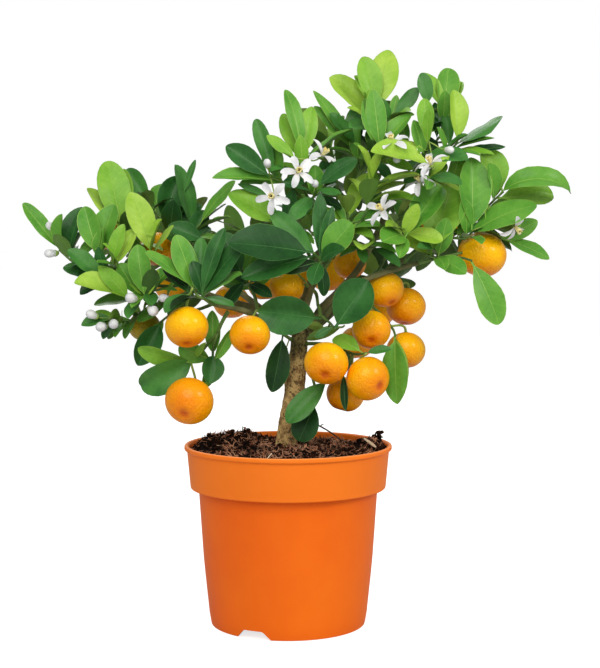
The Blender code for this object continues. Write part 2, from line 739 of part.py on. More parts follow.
def grow_set_leaves(crown, mass, shoot, twig, draw):
    """The leaves whose tips are given, some with their arching and share of the usual width too. One whose
    place is taken is tried further back or forward."""
    foot, aim = mm(shoot.foot), Vector(shoot.aim).normalized()
    grown = []
    for i, (x, y, z, *shape) in enumerate(shoot.tips):
        arching, fullness = (*shape, *(ARCH, 1.0)[len(shape):])
        base = leaf_base(twig, i)
        state = draw.getstate()
        for deeper in DEEPER:
            draw.setstate(state)
            leaf = leaf_to(base, foot + mm((x, y + deeper, z)), aim, arching, fullness, draw)
            if crown.takes(mass, leaf):
                grown.append(leaf)
                break
    return grown


def grow_leaves(crown, mass, shoot, twig, draw):
    """A whorl at the shoot's tip that opens towards its foot, then single leaves back along the twig."""
    aim = Vector(shoot.aim).normalized()
    places = []
    for i in range(shoot.leaves):
        share = i / max(1, shoot.leaves - 1)
        point = leaf_base(twig, i + len(shoot.tips))
        opening = OPENING + (shoot.spread - OPENING) * share**0.8 + draw.uniform(-5, 5)
        least, more = WHORL_LENGTHS
        length = shoot.length * (least + more * math.sin(math.pi * share**0.7))
        length *= draw.uniform(*LENGTH_RANGE)
        places.append((point, aim, shoot.turn + i * GOLDEN_ANGLE, opening, length))
    stretch = length_of(twig) / MM
    for i in range(int(stretch / SIDE_LEAF_SPACING) - 1):
        point, along, _ = place_on(twig, 1 - (i + 1.4) * SIDE_LEAF_SPACING / stretch)
        turn = shoot.turn + SIDE_TURN + i * GOLDEN_ANGLE
        opening = SIDE_OPENING + draw.uniform(-8, 8)
        places.append((point, along, turn, opening, shoot.length * SIDE_SHARE))
    grown = []
    for point, along, turn, opening, length in places:
        state = draw.getstate()
        for turned, opened, scale in TRIES:
            draw.setstate(state)
            leaf = leaf_on(point, along, turn + turned, opening + opened, length * scale, draw)
            if crown.takes(mass, leaf):
                grown.append(leaf)
                break
    return grown


def grow_plan():
    """The whole tree as limbs and, for each mass, its tubes, leaves, fruit and blossom."""
    trunk = trunk_tube()
    limbs = {"trunk": trunk}
    for bough in BOUGHS:
        limbs[bough.name] = bough_tube(bough, trunk)
    crown = Crown()
    for name, tube in limbs.items():
        crown.add_tube(name, tube)
    grown = {}
    for number, mass in enumerate(MASSES):
        draw = random.Random(SEED * 1000 + number)
        twigs = grow_twigs(mass, limbs[mass.bough], draw)
        stalks = []
        for fruit in mass.fruit:
            top = mm(fruit.centre) + Vector((0, 0, fruit.radius * FRUIT_HEIGHT * STALK_SINK * MM))
            stalks.append(grow_stalk(twigs, top, Vector((0, 0, -1))))
            crown.fruit.append((mass.name, mm(fruit.centre), fruit.radius * MM))
        for blossom in mass.blossom:
            face = Vector(blossom.face).normalized()
            stalks.append(grow_stalk(twigs, mm(blossom.centre), face))
            crown.fruit.append((mass.name, mm(blossom.centre), BLOSSOM_RADIUS * BLOSSOM_SPACE * MM))
        for tube in [*twigs, *stalks]:
            crown.add_tube(mass.name, tube)
        grown[mass.name] = {"mass": mass, "twigs": twigs, "stalks": stalks, "leaves": [], "draw": draw}
    for grow in (grow_set_leaves, grow_leaves):
        for name, made in grown.items():
            ends = made["twigs"][1:] or made["twigs"]
            for shoot, twig in zip(made["mass"].shoots, ends):
                made["leaves"] += grow(crown, name, shoot, twig, made["draw"])
    return limbs, grown


# Solids


def material(name, colour, roughness):
    made = bpy.data.materials.new(name)
    made.use_nodes = True
    shader = made.node_tree.nodes["Principled BSDF"]
    shader.inputs["Base Color"].default_value = (*colour, 1.0)
    shader.inputs["Roughness"].default_value = roughness
    shader.inputs["Metallic"].default_value = 0.0
    return made


def mesh_object(name, bm, collection):
    """An object of the mesh, a closed one with its faces turned outwards."""
    if bm.faces and bm.calc_volume(signed=True) < 0:
        bmesh.ops.reverse_faces(bm, faces=bm.faces)
    mesh = bpy.data.meshes.new(name)
    bm.to_mesh(mesh)
    bm.free()
    made = bpy.data.objects.new(name, mesh)
    collection.objects.link(made)
    return made


def finished(obj, finish):
    obj.data.materials.clear()
    obj.data.materials.append(finish)
    obj.data.shade_smooth()
    obj.data.set_sharp_from_angle(angle=math.radians(40))
    return obj


def turned(name, profile, steps, collection):
    """A closed turned solid. The profile starts and ends on the axis and runs down its outer side."""
    bm = bmesh.new()
    verts = [bm.verts.new((radius * MM, 0, height * MM)) for radius, height in profile]
    for a, b in zip(verts, verts[1:]):
        bm.edges.new((a, b))
    made = mesh_object(name, bm, collection)
    screw = made.modifiers.new("turn", "SCREW")
    screw.steps = screw.render_steps = steps
    screw.use_merge_vertices = True
    screw.merge_threshold = 0.00001
    return made


def evaluated_mesh(obj, graph):
    return bpy.data.meshes.new_from_object(obj.evaluated_get(graph))


def applied(obj):
    """The object as a plain mesh with its modifiers applied."""
    graph = bpy.context.evaluated_depsgraph_get()
    mesh = evaluated_mesh(obj, graph)
    obj.modifiers.clear()
    obj.data = mesh
    return obj


def section(sides, collection):
    """A flat outline with corners 1 m out, that a curve can carry along itself."""
    curve = bpy.data.curves.new("section", "CURVE")
    outline = curve.splines.new("POLY")
    outline.points.add(sides - 1)
    outline.use_cyclic_u = True
    for i, knot in enumerate(outline.points):
        angle = 2 * math.pi * i / sides
        knot.co = (math.cos(angle), math.sin(angle), 0, 1)
    made = bpy.data.objects.new("section", curve)
    collection.objects.link(made)
    return made


def tube_curve(name, tube, outline, corners):
    """A curve that carries the outline along the tube, corners being how far its corners stand out."""
    curve = bpy.data.curves.new(name, "CURVE")
    curve.dimensions = "3D"
    curve.twist_mode = "MINIMUM"
    curve.bevel_mode = "OBJECT"
    curve.bevel_object = outline
    curve.use_fill_caps = True
    spline = curve.splines.new("POLY")
    spline.points.add(len(tube.points) - 1)
    for knot, point, radius in zip(spline.points, tube.points, tube.radii):
        knot.co = (*point, 1)
        knot.radius = radius * corners
    return curve


def tube_objects(names, tubes, sides, collection, corners=1.0):
    """Each tube as a closed mesh, its caps welded on and turned outwards like its sides."""
    outline = section(sides, collection)
    curves = []
    for name, tube in zip(names, tubes):
        curves.append(bpy.data.objects.new(name, tube_curve(name, tube, outline, corners)))
        collection.objects.link(curves[-1])
    graph = bpy.context.evaluated_depsgraph_get()
    meshes = [evaluated_mesh(curve, graph) for curve in curves]
    for curve in [outline, *curves]:
        bpy.data.objects.remove(curve)
    made = []
    for name, mesh in zip(names, meshes):
        bm = bmesh.new()
        bm.from_mesh(mesh)
        bmesh.ops.remove_doubles(bm, verts=bm.verts, dist=0.00001)
        bmesh.ops.recalc_face_normals(bm, faces=bm.faces)
        made.append(mesh_object(name, bm, collection))
    return made


def leaf_object(name, leaf, collection):
    """A thin blade with a flat top and a keel, shaped from a sphere of three sides and two rings."""
    bm = bmesh.new()
    bmesh.ops.create_uvsphere(bm, u_segments=3, v_segments=3, radius=1)
    for vert in bm.verts:
        x, _, z = vert.co
        outer = z > 0
        if abs(z) > 0.9:
            vert.co = leaf_point(leaf, 1.0 if outer else -LEAF_ROOT, 0, 0)
        elif abs(x) < 0.1:
            vert.co = leaf_point(leaf, LEAF_RINGS[outer], 0, -LEAF_THICKNESS * MM)
        else:
            half = math.copysign(leaf.width / 2 * LEAF_SHAPE[outer], x)
            vert.co = leaf_point(leaf, LEAF_RINGS[outer], half, 0)
    return mesh_object(name, bm, collection)


def fruit_object(name, fruit, collection):
    """A flattened ball with a dimple underneath."""
    bm = bmesh.new()
    bmesh.ops.create_uvsphere(bm, u_segments=7, v_segments=5, radius=fruit.radius * MM)
    for vert in bm.verts:
        vert.co.z *= FRUIT_HEIGHT
        if vert.co.z < -0.9 * FRUIT_HEIGHT * fruit.radius * MM:
            vert.co.z *= DIMPLE
    made = mesh_object(name, bm, collection)
    made.location = mm(fruit.centre)
    return made


def blossom_object(name, blossom, collection):
    """A flat star of petals that faces along blossom.face."""
    bm = bmesh.new()
    radius, thick = BLOSSOM_RADIUS * MM, BLOSSOM_THICKNESS * MM
    size = {"radius1": radius, "radius2": radius, "depth": thick}
    bmesh.ops.create_cone(bm, segments=2 * PETALS, cap_ends=True, **size)
    for vert in bm.verts:
        step = round(math.atan2(vert.co.y, vert.co.x) / (math.pi / PETALS))
        if step % 2:
            vert.co.xy *= BLOSSOM_WAIST
    made = mesh_object(name, bm, collection)
    made.location = mm(blossom.centre)
    made.rotation_mode = "QUATERNION"
    made.rotation_quaternion = Vector(blossom.face).to_track_quat("Z", "Y")
    return made


def keep_largest(obj):
    """Drops what isn't joined to the largest shell, and the walls of any hollow sealed inside it."""
    bm = bmesh.new()
    bm.from_mesh(obj.data)
    left = set(bm.verts)
    shells = []
    while left:
        shell, reached = set(), [left.pop()]
        while reached:
            vert = reached.pop()
            shell.add(vert)
            for edge in vert.link_edges:
                other = edge.other_vert(vert)
                if other in left:
                    left.remove(other)
                    reached.append(other)
        shells.append(shell)
    largest = max(shells, key=len)
    loose = [vert for shell in shells if shell is not largest for vert in shell]
    bmesh.ops.delete(bm, geom=loose, context="VERTS")
    bm.to_mesh(obj.data)
    bm.free()


def fuse(base, pieces):
    """Joins the collection's objects to base, and removes them."""
    join = base.modifiers.new("join", "BOOLEAN")
    join.operation = "UNION"
    join.operand_type = "COLLECTION"
    join.collection = pieces
    join.solver = "MANIFOLD"
    applied(base)
    for obj in list(pieces.objects):
        bpy.data.objects.remove(obj)
    bpy.data.collections.remove(pieces)
    keep_largest(base)
    return base


def build_mass(name, made, collection):
    pieces = bpy.data.collections.new(name + "_pieces")
    bpy.context.scene.collection.children.link(pieces)
    stem, *others = [*made["twigs"], *made["stalks"]]
    (base,) = tube_objects([name], [stem], TWIG_SIDES, collection, TWIG_CORNERS)
    tube_objects(["twig"] * len(others), others, TWIG_SIDES, pieces, TWIG_CORNERS)
    for leaf in made["leaves"]:
        leaf_object("leaf", leaf, pieces)
    for fruit in made["mass"].fruit:
        fruit_object("fruit", fruit, pieces)
    for blossom in made["mass"].blossom:
        blossom_object("blossom", blossom, pieces)
    return fuse(base, pieces)


def build_trunk(tube, collection):
    """The trunk as a tapering tube whose lowest ring spreads in root lobes."""
    (made,) = tube_objects(["trunk"], [tube], TRUNK_SIDES, collection)
    foot = tube.points[0]
    for vert in made.data.vertices:
        height = (vert.co.z - foot.z) / MM
        if height < 1:
            out = vert.co - foot
            angle = math.atan2(out.y, out.x)
            vert.co.xy = foot.xy + out.xy * (1 + ROOT_LOBE_DEPTH * math.cos(ROOT_LOBES * angle))
            vert.co.z = foot.z
    return made


def pot_profile():
    collar_foot = POT_HEIGHT - COLLAR_HEIGHT
    middle_radius, middle_height = WALL_MIDDLE
    return (
        (0, WALL),
        (HUB_RADIUS - WALL, WALL),
        (HUB_RADIUS + 3, FLOOR_HEIGHT + WALL),
        (WALL_FOOT_RADIUS - WALL, FLOOR_HEIGHT + WALL),
        (middle_radius - WALL, middle_height),
        (WALL_TOP_RADIUS - WALL, collar_foot + WALL),
        (COLLAR_FOOT_RADIUS - WALL, collar_foot + WALL),
        (COLLAR_RADIUS - WALL, POT_HEIGHT - LIP_ROLL),
        (LIP_RADIUS - LIP_ROLL, POT_HEIGHT),
        (LIP_RADIUS, POT_HEIGHT - LIP_ROLL),
        (LIP_RADIUS - LIP_ROLL, POT_HEIGHT - 2 * LIP_ROLL),
        (COLLAR_RADIUS, POT_HEIGHT - 2 * LIP_ROLL - 1),
        (COLLAR_FOOT_RADIUS, collar_foot + 1),
        (COLLAR_FOOT_RADIUS - 1, collar_foot),
        (WALL_TOP_RADIUS, collar_foot),
        (middle_radius, middle_height),
        (WALL_FOOT_RADIUS, FOOT_HEIGHT + 0.6),
        (FOOT_RADIUS + 0.5, FOOT_HEIGHT),
        (FOOT_RADIUS, 0),
        (FOOT_RADIUS - WALL, 0),
        (FOOT_RADIUS - WALL, FLOOR_HEIGHT),
        (HUB_RADIUS + 4, FLOOR_HEIGHT),
        (HUB_RADIUS, 0),
        (0, 0),
    )


def notch_cutter(angle, collection):
    """A wedge that narrows upwards, across the foot ring at angle degrees from -Y."""
    bm = bmesh.new()
    bmesh.ops.create_cube(bm, size=1)
    for vert in bm.verts:
        width = NOTCH_WIDTH * (NOTCH_SLOPE if vert.co.z > 0 else 1)
        height = NOTCH_HEIGHT if vert.co.z > 0 else -2
        vert.co = (vert.co.x * width * MM, (vert.co.y * NOTCH_DEPTH - FOOT_RADIUS + 1) * MM, height * MM)
    made = mesh_object("notch_cutter", bm, collection)
    made.rotation_euler.z = math.radians(angle)
    return made


def drain_cutter(angle, collection):
    bm = bmesh.new()
    radius = DRAIN_RADIUS * MM
    bmesh.ops.create_cone(bm, segments=6, radius1=radius, radius2=radius, depth=0.008, cap_ends=True)
    made = mesh_object("drain_cutter", bm, collection)
    reach = DRAIN_CIRCLE * MM
    made.location = (reach * math.cos(angle), reach * math.sin(angle), (FLOOR_HEIGHT + WALL / 2) * MM)
    return made


def build_pot(collection, cutters):
    pot = turned("pot", pot_profile(), POT_STEPS, collection)
    for angle in NOTCH_AT:
        notch_cutter(angle, cutters)
    for i in range(DRAINS):
        drain_cutter(2 * math.pi * (i + 0.5) / DRAINS, cutters)
    for cutter in cutters.objects:
        cutter.hide_render = True
        cutter.display_type = "WIRE"
    cut = pot.modifiers.new("notches and drains", "BOOLEAN")
    cut.operation = "DIFFERENCE"
    cut.operand_type = "COLLECTION"
    cut.collection = cutters
    cut.solver = "EXACT"
    return pot


def soil_height(x, y):
    """Height of the soil's surface in millimetres at x, y from the pot's axis."""
    from_trunk = math.hypot(x - TRUNK[0][0], y)
    edge = min(1.0, math.hypot(x, y) / COLLAR_FOOT_RADIUS)
    height = SEAT_HEIGHT + (SOIL_EDGE - SEAT_HEIGHT) * edge**2
    height += SOIL_WAVE * math.sin(x * SOIL_WAVE_ACROSS + 1.0) * math.cos(y * SOIL_WAVE_DEEP + 0.4)
    for heap_x, heap_y, radius, rise in HEAPS:
        height += rise * math.exp(-(((x - heap_x) / radius) ** 2 + ((y - heap_y) / radius) ** 2))
    share = min(1.0, max(0.0, (from_trunk - SEAT_RADIUS) / SEAT_BLEND))
    return SEAT_HEIGHT + (height - SEAT_HEIGHT) * share


def build_soil(collection):
    """A plug that fills the pot, SOIL_CLEAR inside it, with a heaped surface."""
    rings = [(r, SOIL_EDGE) for r in SOIL_RINGS]
    collar_foot = POT_HEIGHT - COLLAR_HEIGHT
    inside = WALL + SOIL_CLEAR
    profile = (
        (0, SOIL_EDGE),
        *rings,
        (COLLAR_RADIUS - inside - 0.6, SOIL_EDGE - 0.5),
        (COLLAR_FOOT_RADIUS - inside, collar_foot + inside),
        (WALL_TOP_RADIUS - inside, collar_foot + inside),
        (WALL_MIDDLE[0] - inside, WALL_MIDDLE[1]),
        (WALL_FOOT_RADIUS - inside, FLOOR_HEIGHT + inside),
        (HUB_RADIUS + 3, FLOOR_HEIGHT + inside),
        (HUB_RADIUS - inside, inside),
        (0, inside),
    )
    soil = applied(turned("soil", profile, POT_STEPS, collection))
    for vert in soil.data.vertices:
        if vert.co.z > (SOIL_EDGE - 0.25) * MM:
            vert.co.z = soil_height(vert.co.x / MM, vert.co.y / MM) * MM
    return soil


def main():
    for obj in list(bpy.data.objects):
        bpy.data.objects.remove(obj)
    tree = bpy.data.collections.new("potted_orange_tree")
    cutters = bpy.data.collections.new("cutters")
    bpy.context.scene.collection.children.link(tree)
    bpy.context.scene.collection.children.link(cutters)
    plastic = material("pot_plastic", (0.87, 0.19, 0.025), 0.42)
    earth = material("potting_soil", (0.045, 0.022, 0.014), 0.95)
    bark = material("bark", (0.27, 0.2, 0.11), 0.85)
    green_wood = material("green_wood", (0.12, 0.16, 0.05), 0.7)
    foliage = material("foliage", (0.1, 0.33, 0.06), 0.4)

    limbs, grown = grow_plan()
    finished(build_pot(tree, cutters), plastic)
    finished(build_soil(tree), earth)
    finished(build_trunk(limbs["trunk"], tree), bark)
    names = [bough.name for bough in BOUGHS]
    for bough in tube_objects(names, [limbs[name] for name in names], BOUGH_SIDES, tree):
        finished(bough, green_wood)
    for name, made in grown.items():
        finished(build_mass(name, made, tree), foliage)


if __name__ == "__main__":
    main()
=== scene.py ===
"""Looks of the potted malta orange tree.

Sizes are in millimetres and MM turns them into metres. The limbs and the leaves of the solids are grown again
here by the same rule, and finer twigs, more leaves, buds and blossom grow on from them.
"""

import math
import random
from collections import namedtuple

import bmesh
import bpy
from mathutils import Matrix, Quaternion, Vector, noise
from mathutils.bvhtree import BVHTree


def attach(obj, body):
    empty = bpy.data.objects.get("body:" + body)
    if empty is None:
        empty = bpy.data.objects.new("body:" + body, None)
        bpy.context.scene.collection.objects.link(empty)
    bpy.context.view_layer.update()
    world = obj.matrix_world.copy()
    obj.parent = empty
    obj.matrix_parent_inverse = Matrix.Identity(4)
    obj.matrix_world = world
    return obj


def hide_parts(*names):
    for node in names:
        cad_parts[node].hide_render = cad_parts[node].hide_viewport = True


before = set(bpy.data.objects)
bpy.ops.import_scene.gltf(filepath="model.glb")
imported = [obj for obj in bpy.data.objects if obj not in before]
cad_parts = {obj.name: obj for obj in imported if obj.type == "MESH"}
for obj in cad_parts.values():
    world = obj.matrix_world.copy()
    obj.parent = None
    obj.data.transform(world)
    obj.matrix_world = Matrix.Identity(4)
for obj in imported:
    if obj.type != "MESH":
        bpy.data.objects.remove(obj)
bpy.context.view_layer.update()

# Camera: worked out from the ellipses of the pot's rim and foot
CAMERA_PLACE = (8.6, -1080.0, 279.6)
CAMERA_PITCH = 3.7  # degrees below level
LENS = 80.9
SENSOR = 36.0

MM = 0.001
GAP = 0.3  # between two solids that meet
SEED = 7

# Pot: a thin shell with a collar, a rolled lip and a foot ring round a raised floor
POT_HEIGHT = 130.0
LIP_RADIUS = 75.0
LIP_ROLL = 1.6
COLLAR_RADIUS = 73.0
COLLAR_FOOT_RADIUS = 70.6
COLLAR_HEIGHT = 31.0
WALL_TOP_RADIUS = 64.8
WALL_MIDDLE = (61.2, 46.0)  # radius and height where the wall's slope changes
WALL_FOOT_RADIUS = 57.2
FOOT_RADIUS = 55.8
FOOT_HEIGHT = 5.0
WALL = 1.5
FLOOR_HEIGHT = 6.2
HUB_RADIUS = 16.5  # the middle of the floor comes down to the ground
NOTCH_AT = (-25.5, 94.5, 214.5)  # degrees from -Y towards +X
NOTCH_WIDTH = 30.0
NOTCH_HEIGHT = 6.0
NOTCH_SLOPE = 0.5  # width at the top as a share of the width at the ground
NOTCH_DEPTH = 8.0
DRAINS = 6
DRAIN_RADIUS = 4.0
DRAIN_CIRCLE = 38.0

# Soil: heaped on the left, flat where the trunk stands
SOIL_EDGE = 123.5
SEAT_HEIGHT = 128.5
SEAT_RADIUS = 18.0
SEAT_BLEND = 8.0  # from the flat seat to the uneven surface
SOIL_WAVE = 0.9
SOIL_WAVE_ACROSS = 0.31  # radians to a millimetre along x and along y
SOIL_WAVE_DEEP = 0.27
HEAPS = (  # x, y, radius, height of each heap above the even surface
    (-34.0, 8.0, 21.0, 10.0),
    (-56.0, -2.0, 14.0, 7.0),
    (62.0, 8.0, 10.0, 9.0),
    (18.0, -42.0, 16.0, 3.0),
)

# Trunk: x, y, z and radius from the ground to the fork
TRUNK = (
    (-1.5, 0.0, SEAT_HEIGHT + GAP, 8.6),
    (-1.4, 0.0, 133.0, 7.4),
    (0.0, 0.0, 144.0, 7.1),
    (2.2, 0.0, 155.0, 7.1),
    (4.4, 0.0, 166.0, 7.3),
    (5.0, 0.0, 178.0, 7.6),
    (5.6, 0.0, 187.0, 7.4),
    (7.4, 0.0, 195.0, 6.4),
    (8.2, 0.0, 207.0, 5.8),
    (9.5, 0.0, 221.0, 5.2),
)
ROOT_LOBES = 5
ROOT_LOBE_DEPTH = 0.16

# Wood: radii of stems and twigs, and how the paths are divided
BOUGH_STEPS = 2
STEM_RADIUS = 1.6
STEM_LEAD = 2.0  # a stem is straight this far from its bough
TWIG_RADIUS = 1.15
TIP_RADIUS = 0.75
STALK_RADIUS = 0.8
TWIG_STEPS = 3
FORK_SHARE = 0.42  # how far from its bough to its shoots a stem forks
LEAN = 0.45  # how much of a side shoot's first direction lies along what carries it
PULL = 0.36  # how long a path keeps its first and last directions, as a share of its length
TWIG_ROOT = 0.7  # sunk into what it grows from
WANDER = 0.06  # sideways drift of a twig as a share of its length

# Leaves
LEAF_ASPECT = 0.5
LEAF_THICKNESS = 0.9
LEAF_RINGS = (0.3, 0.67)  # where the blade has its corners, as shares of its length
LEAF_SHAPE = (0.45, 1.0)  # its width there, as shares of its greatest width
TIP_LEAF = 1.2  # from a twig's end to its last leaf
INTERNODE = 3.2
SIDE_LEAF_SPACING = 24.0
GOLDEN_ANGLE = 137.5
ARCH = 14.0  # half the angle a set leaf bends through, in degrees
ARCH_RANGE = (0.6, 1.4)
BEND = (14.0, 46.0)  # least and greatest for a leaf of a whorl
FULLNESS = (0.9, 1.13)  # least and greatest share of a leaf's usual width
ROLL = 22.0  # greatest turn about its own axis
SET_ROLL = 14.0
OPENING = 14.0  # of the innermost leaf of a whorl
SIDE_OPENING = 58.0
SIDE_TURN = 60.0  # from the whorl's first leaf to the first leaf below it
SIDE_SHARE = 0.92  # of a shoot's leaf length
WHORL_LENGTHS = (0.82, 0.24)  # outer leaves as a share of the shoot's leaf length, and the others' extra
LENGTH_RANGE = (0.94, 1.08)
DEEPER = (0, 5, -5, 10, -10, 15, -15)  # tried in turn for a set leaf's tip
REACH = 0.56  # of its length, from a leaf's middle to its furthest point
BLADE_FROM = 0.3  # share of a leaf, from its twig, that may cross its own mass
CLEAR = 0.55  # kept between a leaf and what it doesn't grow on
TRIES = (  # turn, opening and share of its length tried in turn for a leaf of a whorl
    (0, 0, 1.0), (18, 0, 1.0), (-18, 0, 1.0), (30, -8, 0.9), (-30, -8, 0.9), (10, -16, 0.8), (-12, 12, 0.8),
)

# Fruit and blossom
FRUIT_HEIGHT = 0.92  # of its width
STALK_SINK = 0.86  # of half its height, where the stalk ends inside the fruit
STALK_RISE = 8.0  # a stalk starts on the twig point nearest to this far above its end
STALK_SAG = 4.0
BLOSSOM_RADIUS = 12.0
BLOSSOM_SPACE = 0.9  # of that radius, which leaves keep off
PETALS = 5

Bough = namedtuple("Bough", "name at route radii")
Mass = namedtuple("Mass", "name bough at shoots fruit blossom", defaults=((), ()))
Shoot = namedtuple("Shoot", "foot aim leaves length spread turn tips", defaults=((),))
Fruit = namedtuple("Fruit", "centre radius")
Blossom = namedtuple("Blossom", "centre face")
Leaf = namedtuple("Leaf", "base along face length width bend")
Tube = namedtuple("Tube", "points radii")

# Boughs: where they leave the trunk, from 0 at the ground to 1 at the fork, then the points they pass
BOUGHS = (
    Bough("bough_middle", 1.0, ((13, 3, 238), (24, 6, 262), (38, 8, 292)), (4.0, 2.2)),
    Bough("bough_left", 0.93, ((-14, 2, 226), (-50, 6, 235), (-92, 2, 252)), (3.6, 2.0)),
    Bough("bough_left_front", 0.86, ((-8, -14, 215), (-28, -31, 227), (-50, -42, 233)), (3.0, 1.8)),
    Bough("bough_front", 0.98, ((13, -14, 230), (18, -28, 248), (22, -38, 260)), (2.8, 1.8)),
    Bough("bough_right", 0.96, ((26, 4, 230), (50, 0, 256), (70, -4, 296)), (3.6, 2.0)),
    Bough("bough_right_low", 0.89, ((22, -8, 218), (50, -18, 247), (92, -14, 261)), (3.0, 1.8)),
    Bough("bough_back", 0.91, ((12, 16, 226), (18, 42, 247), (24, 62, 270)), (3.2, 1.9)),
    Bough("bough_back_left", 0.85, ((-6, 14, 217), (-38, 36, 240), (-66, 52, 260)), (3.0, 1.8)),
    Bough("bough_back_right", 0.83, ((22, 13, 215), (52, 36, 240), (86, 48, 262)), (3.0, 1.8)),
)

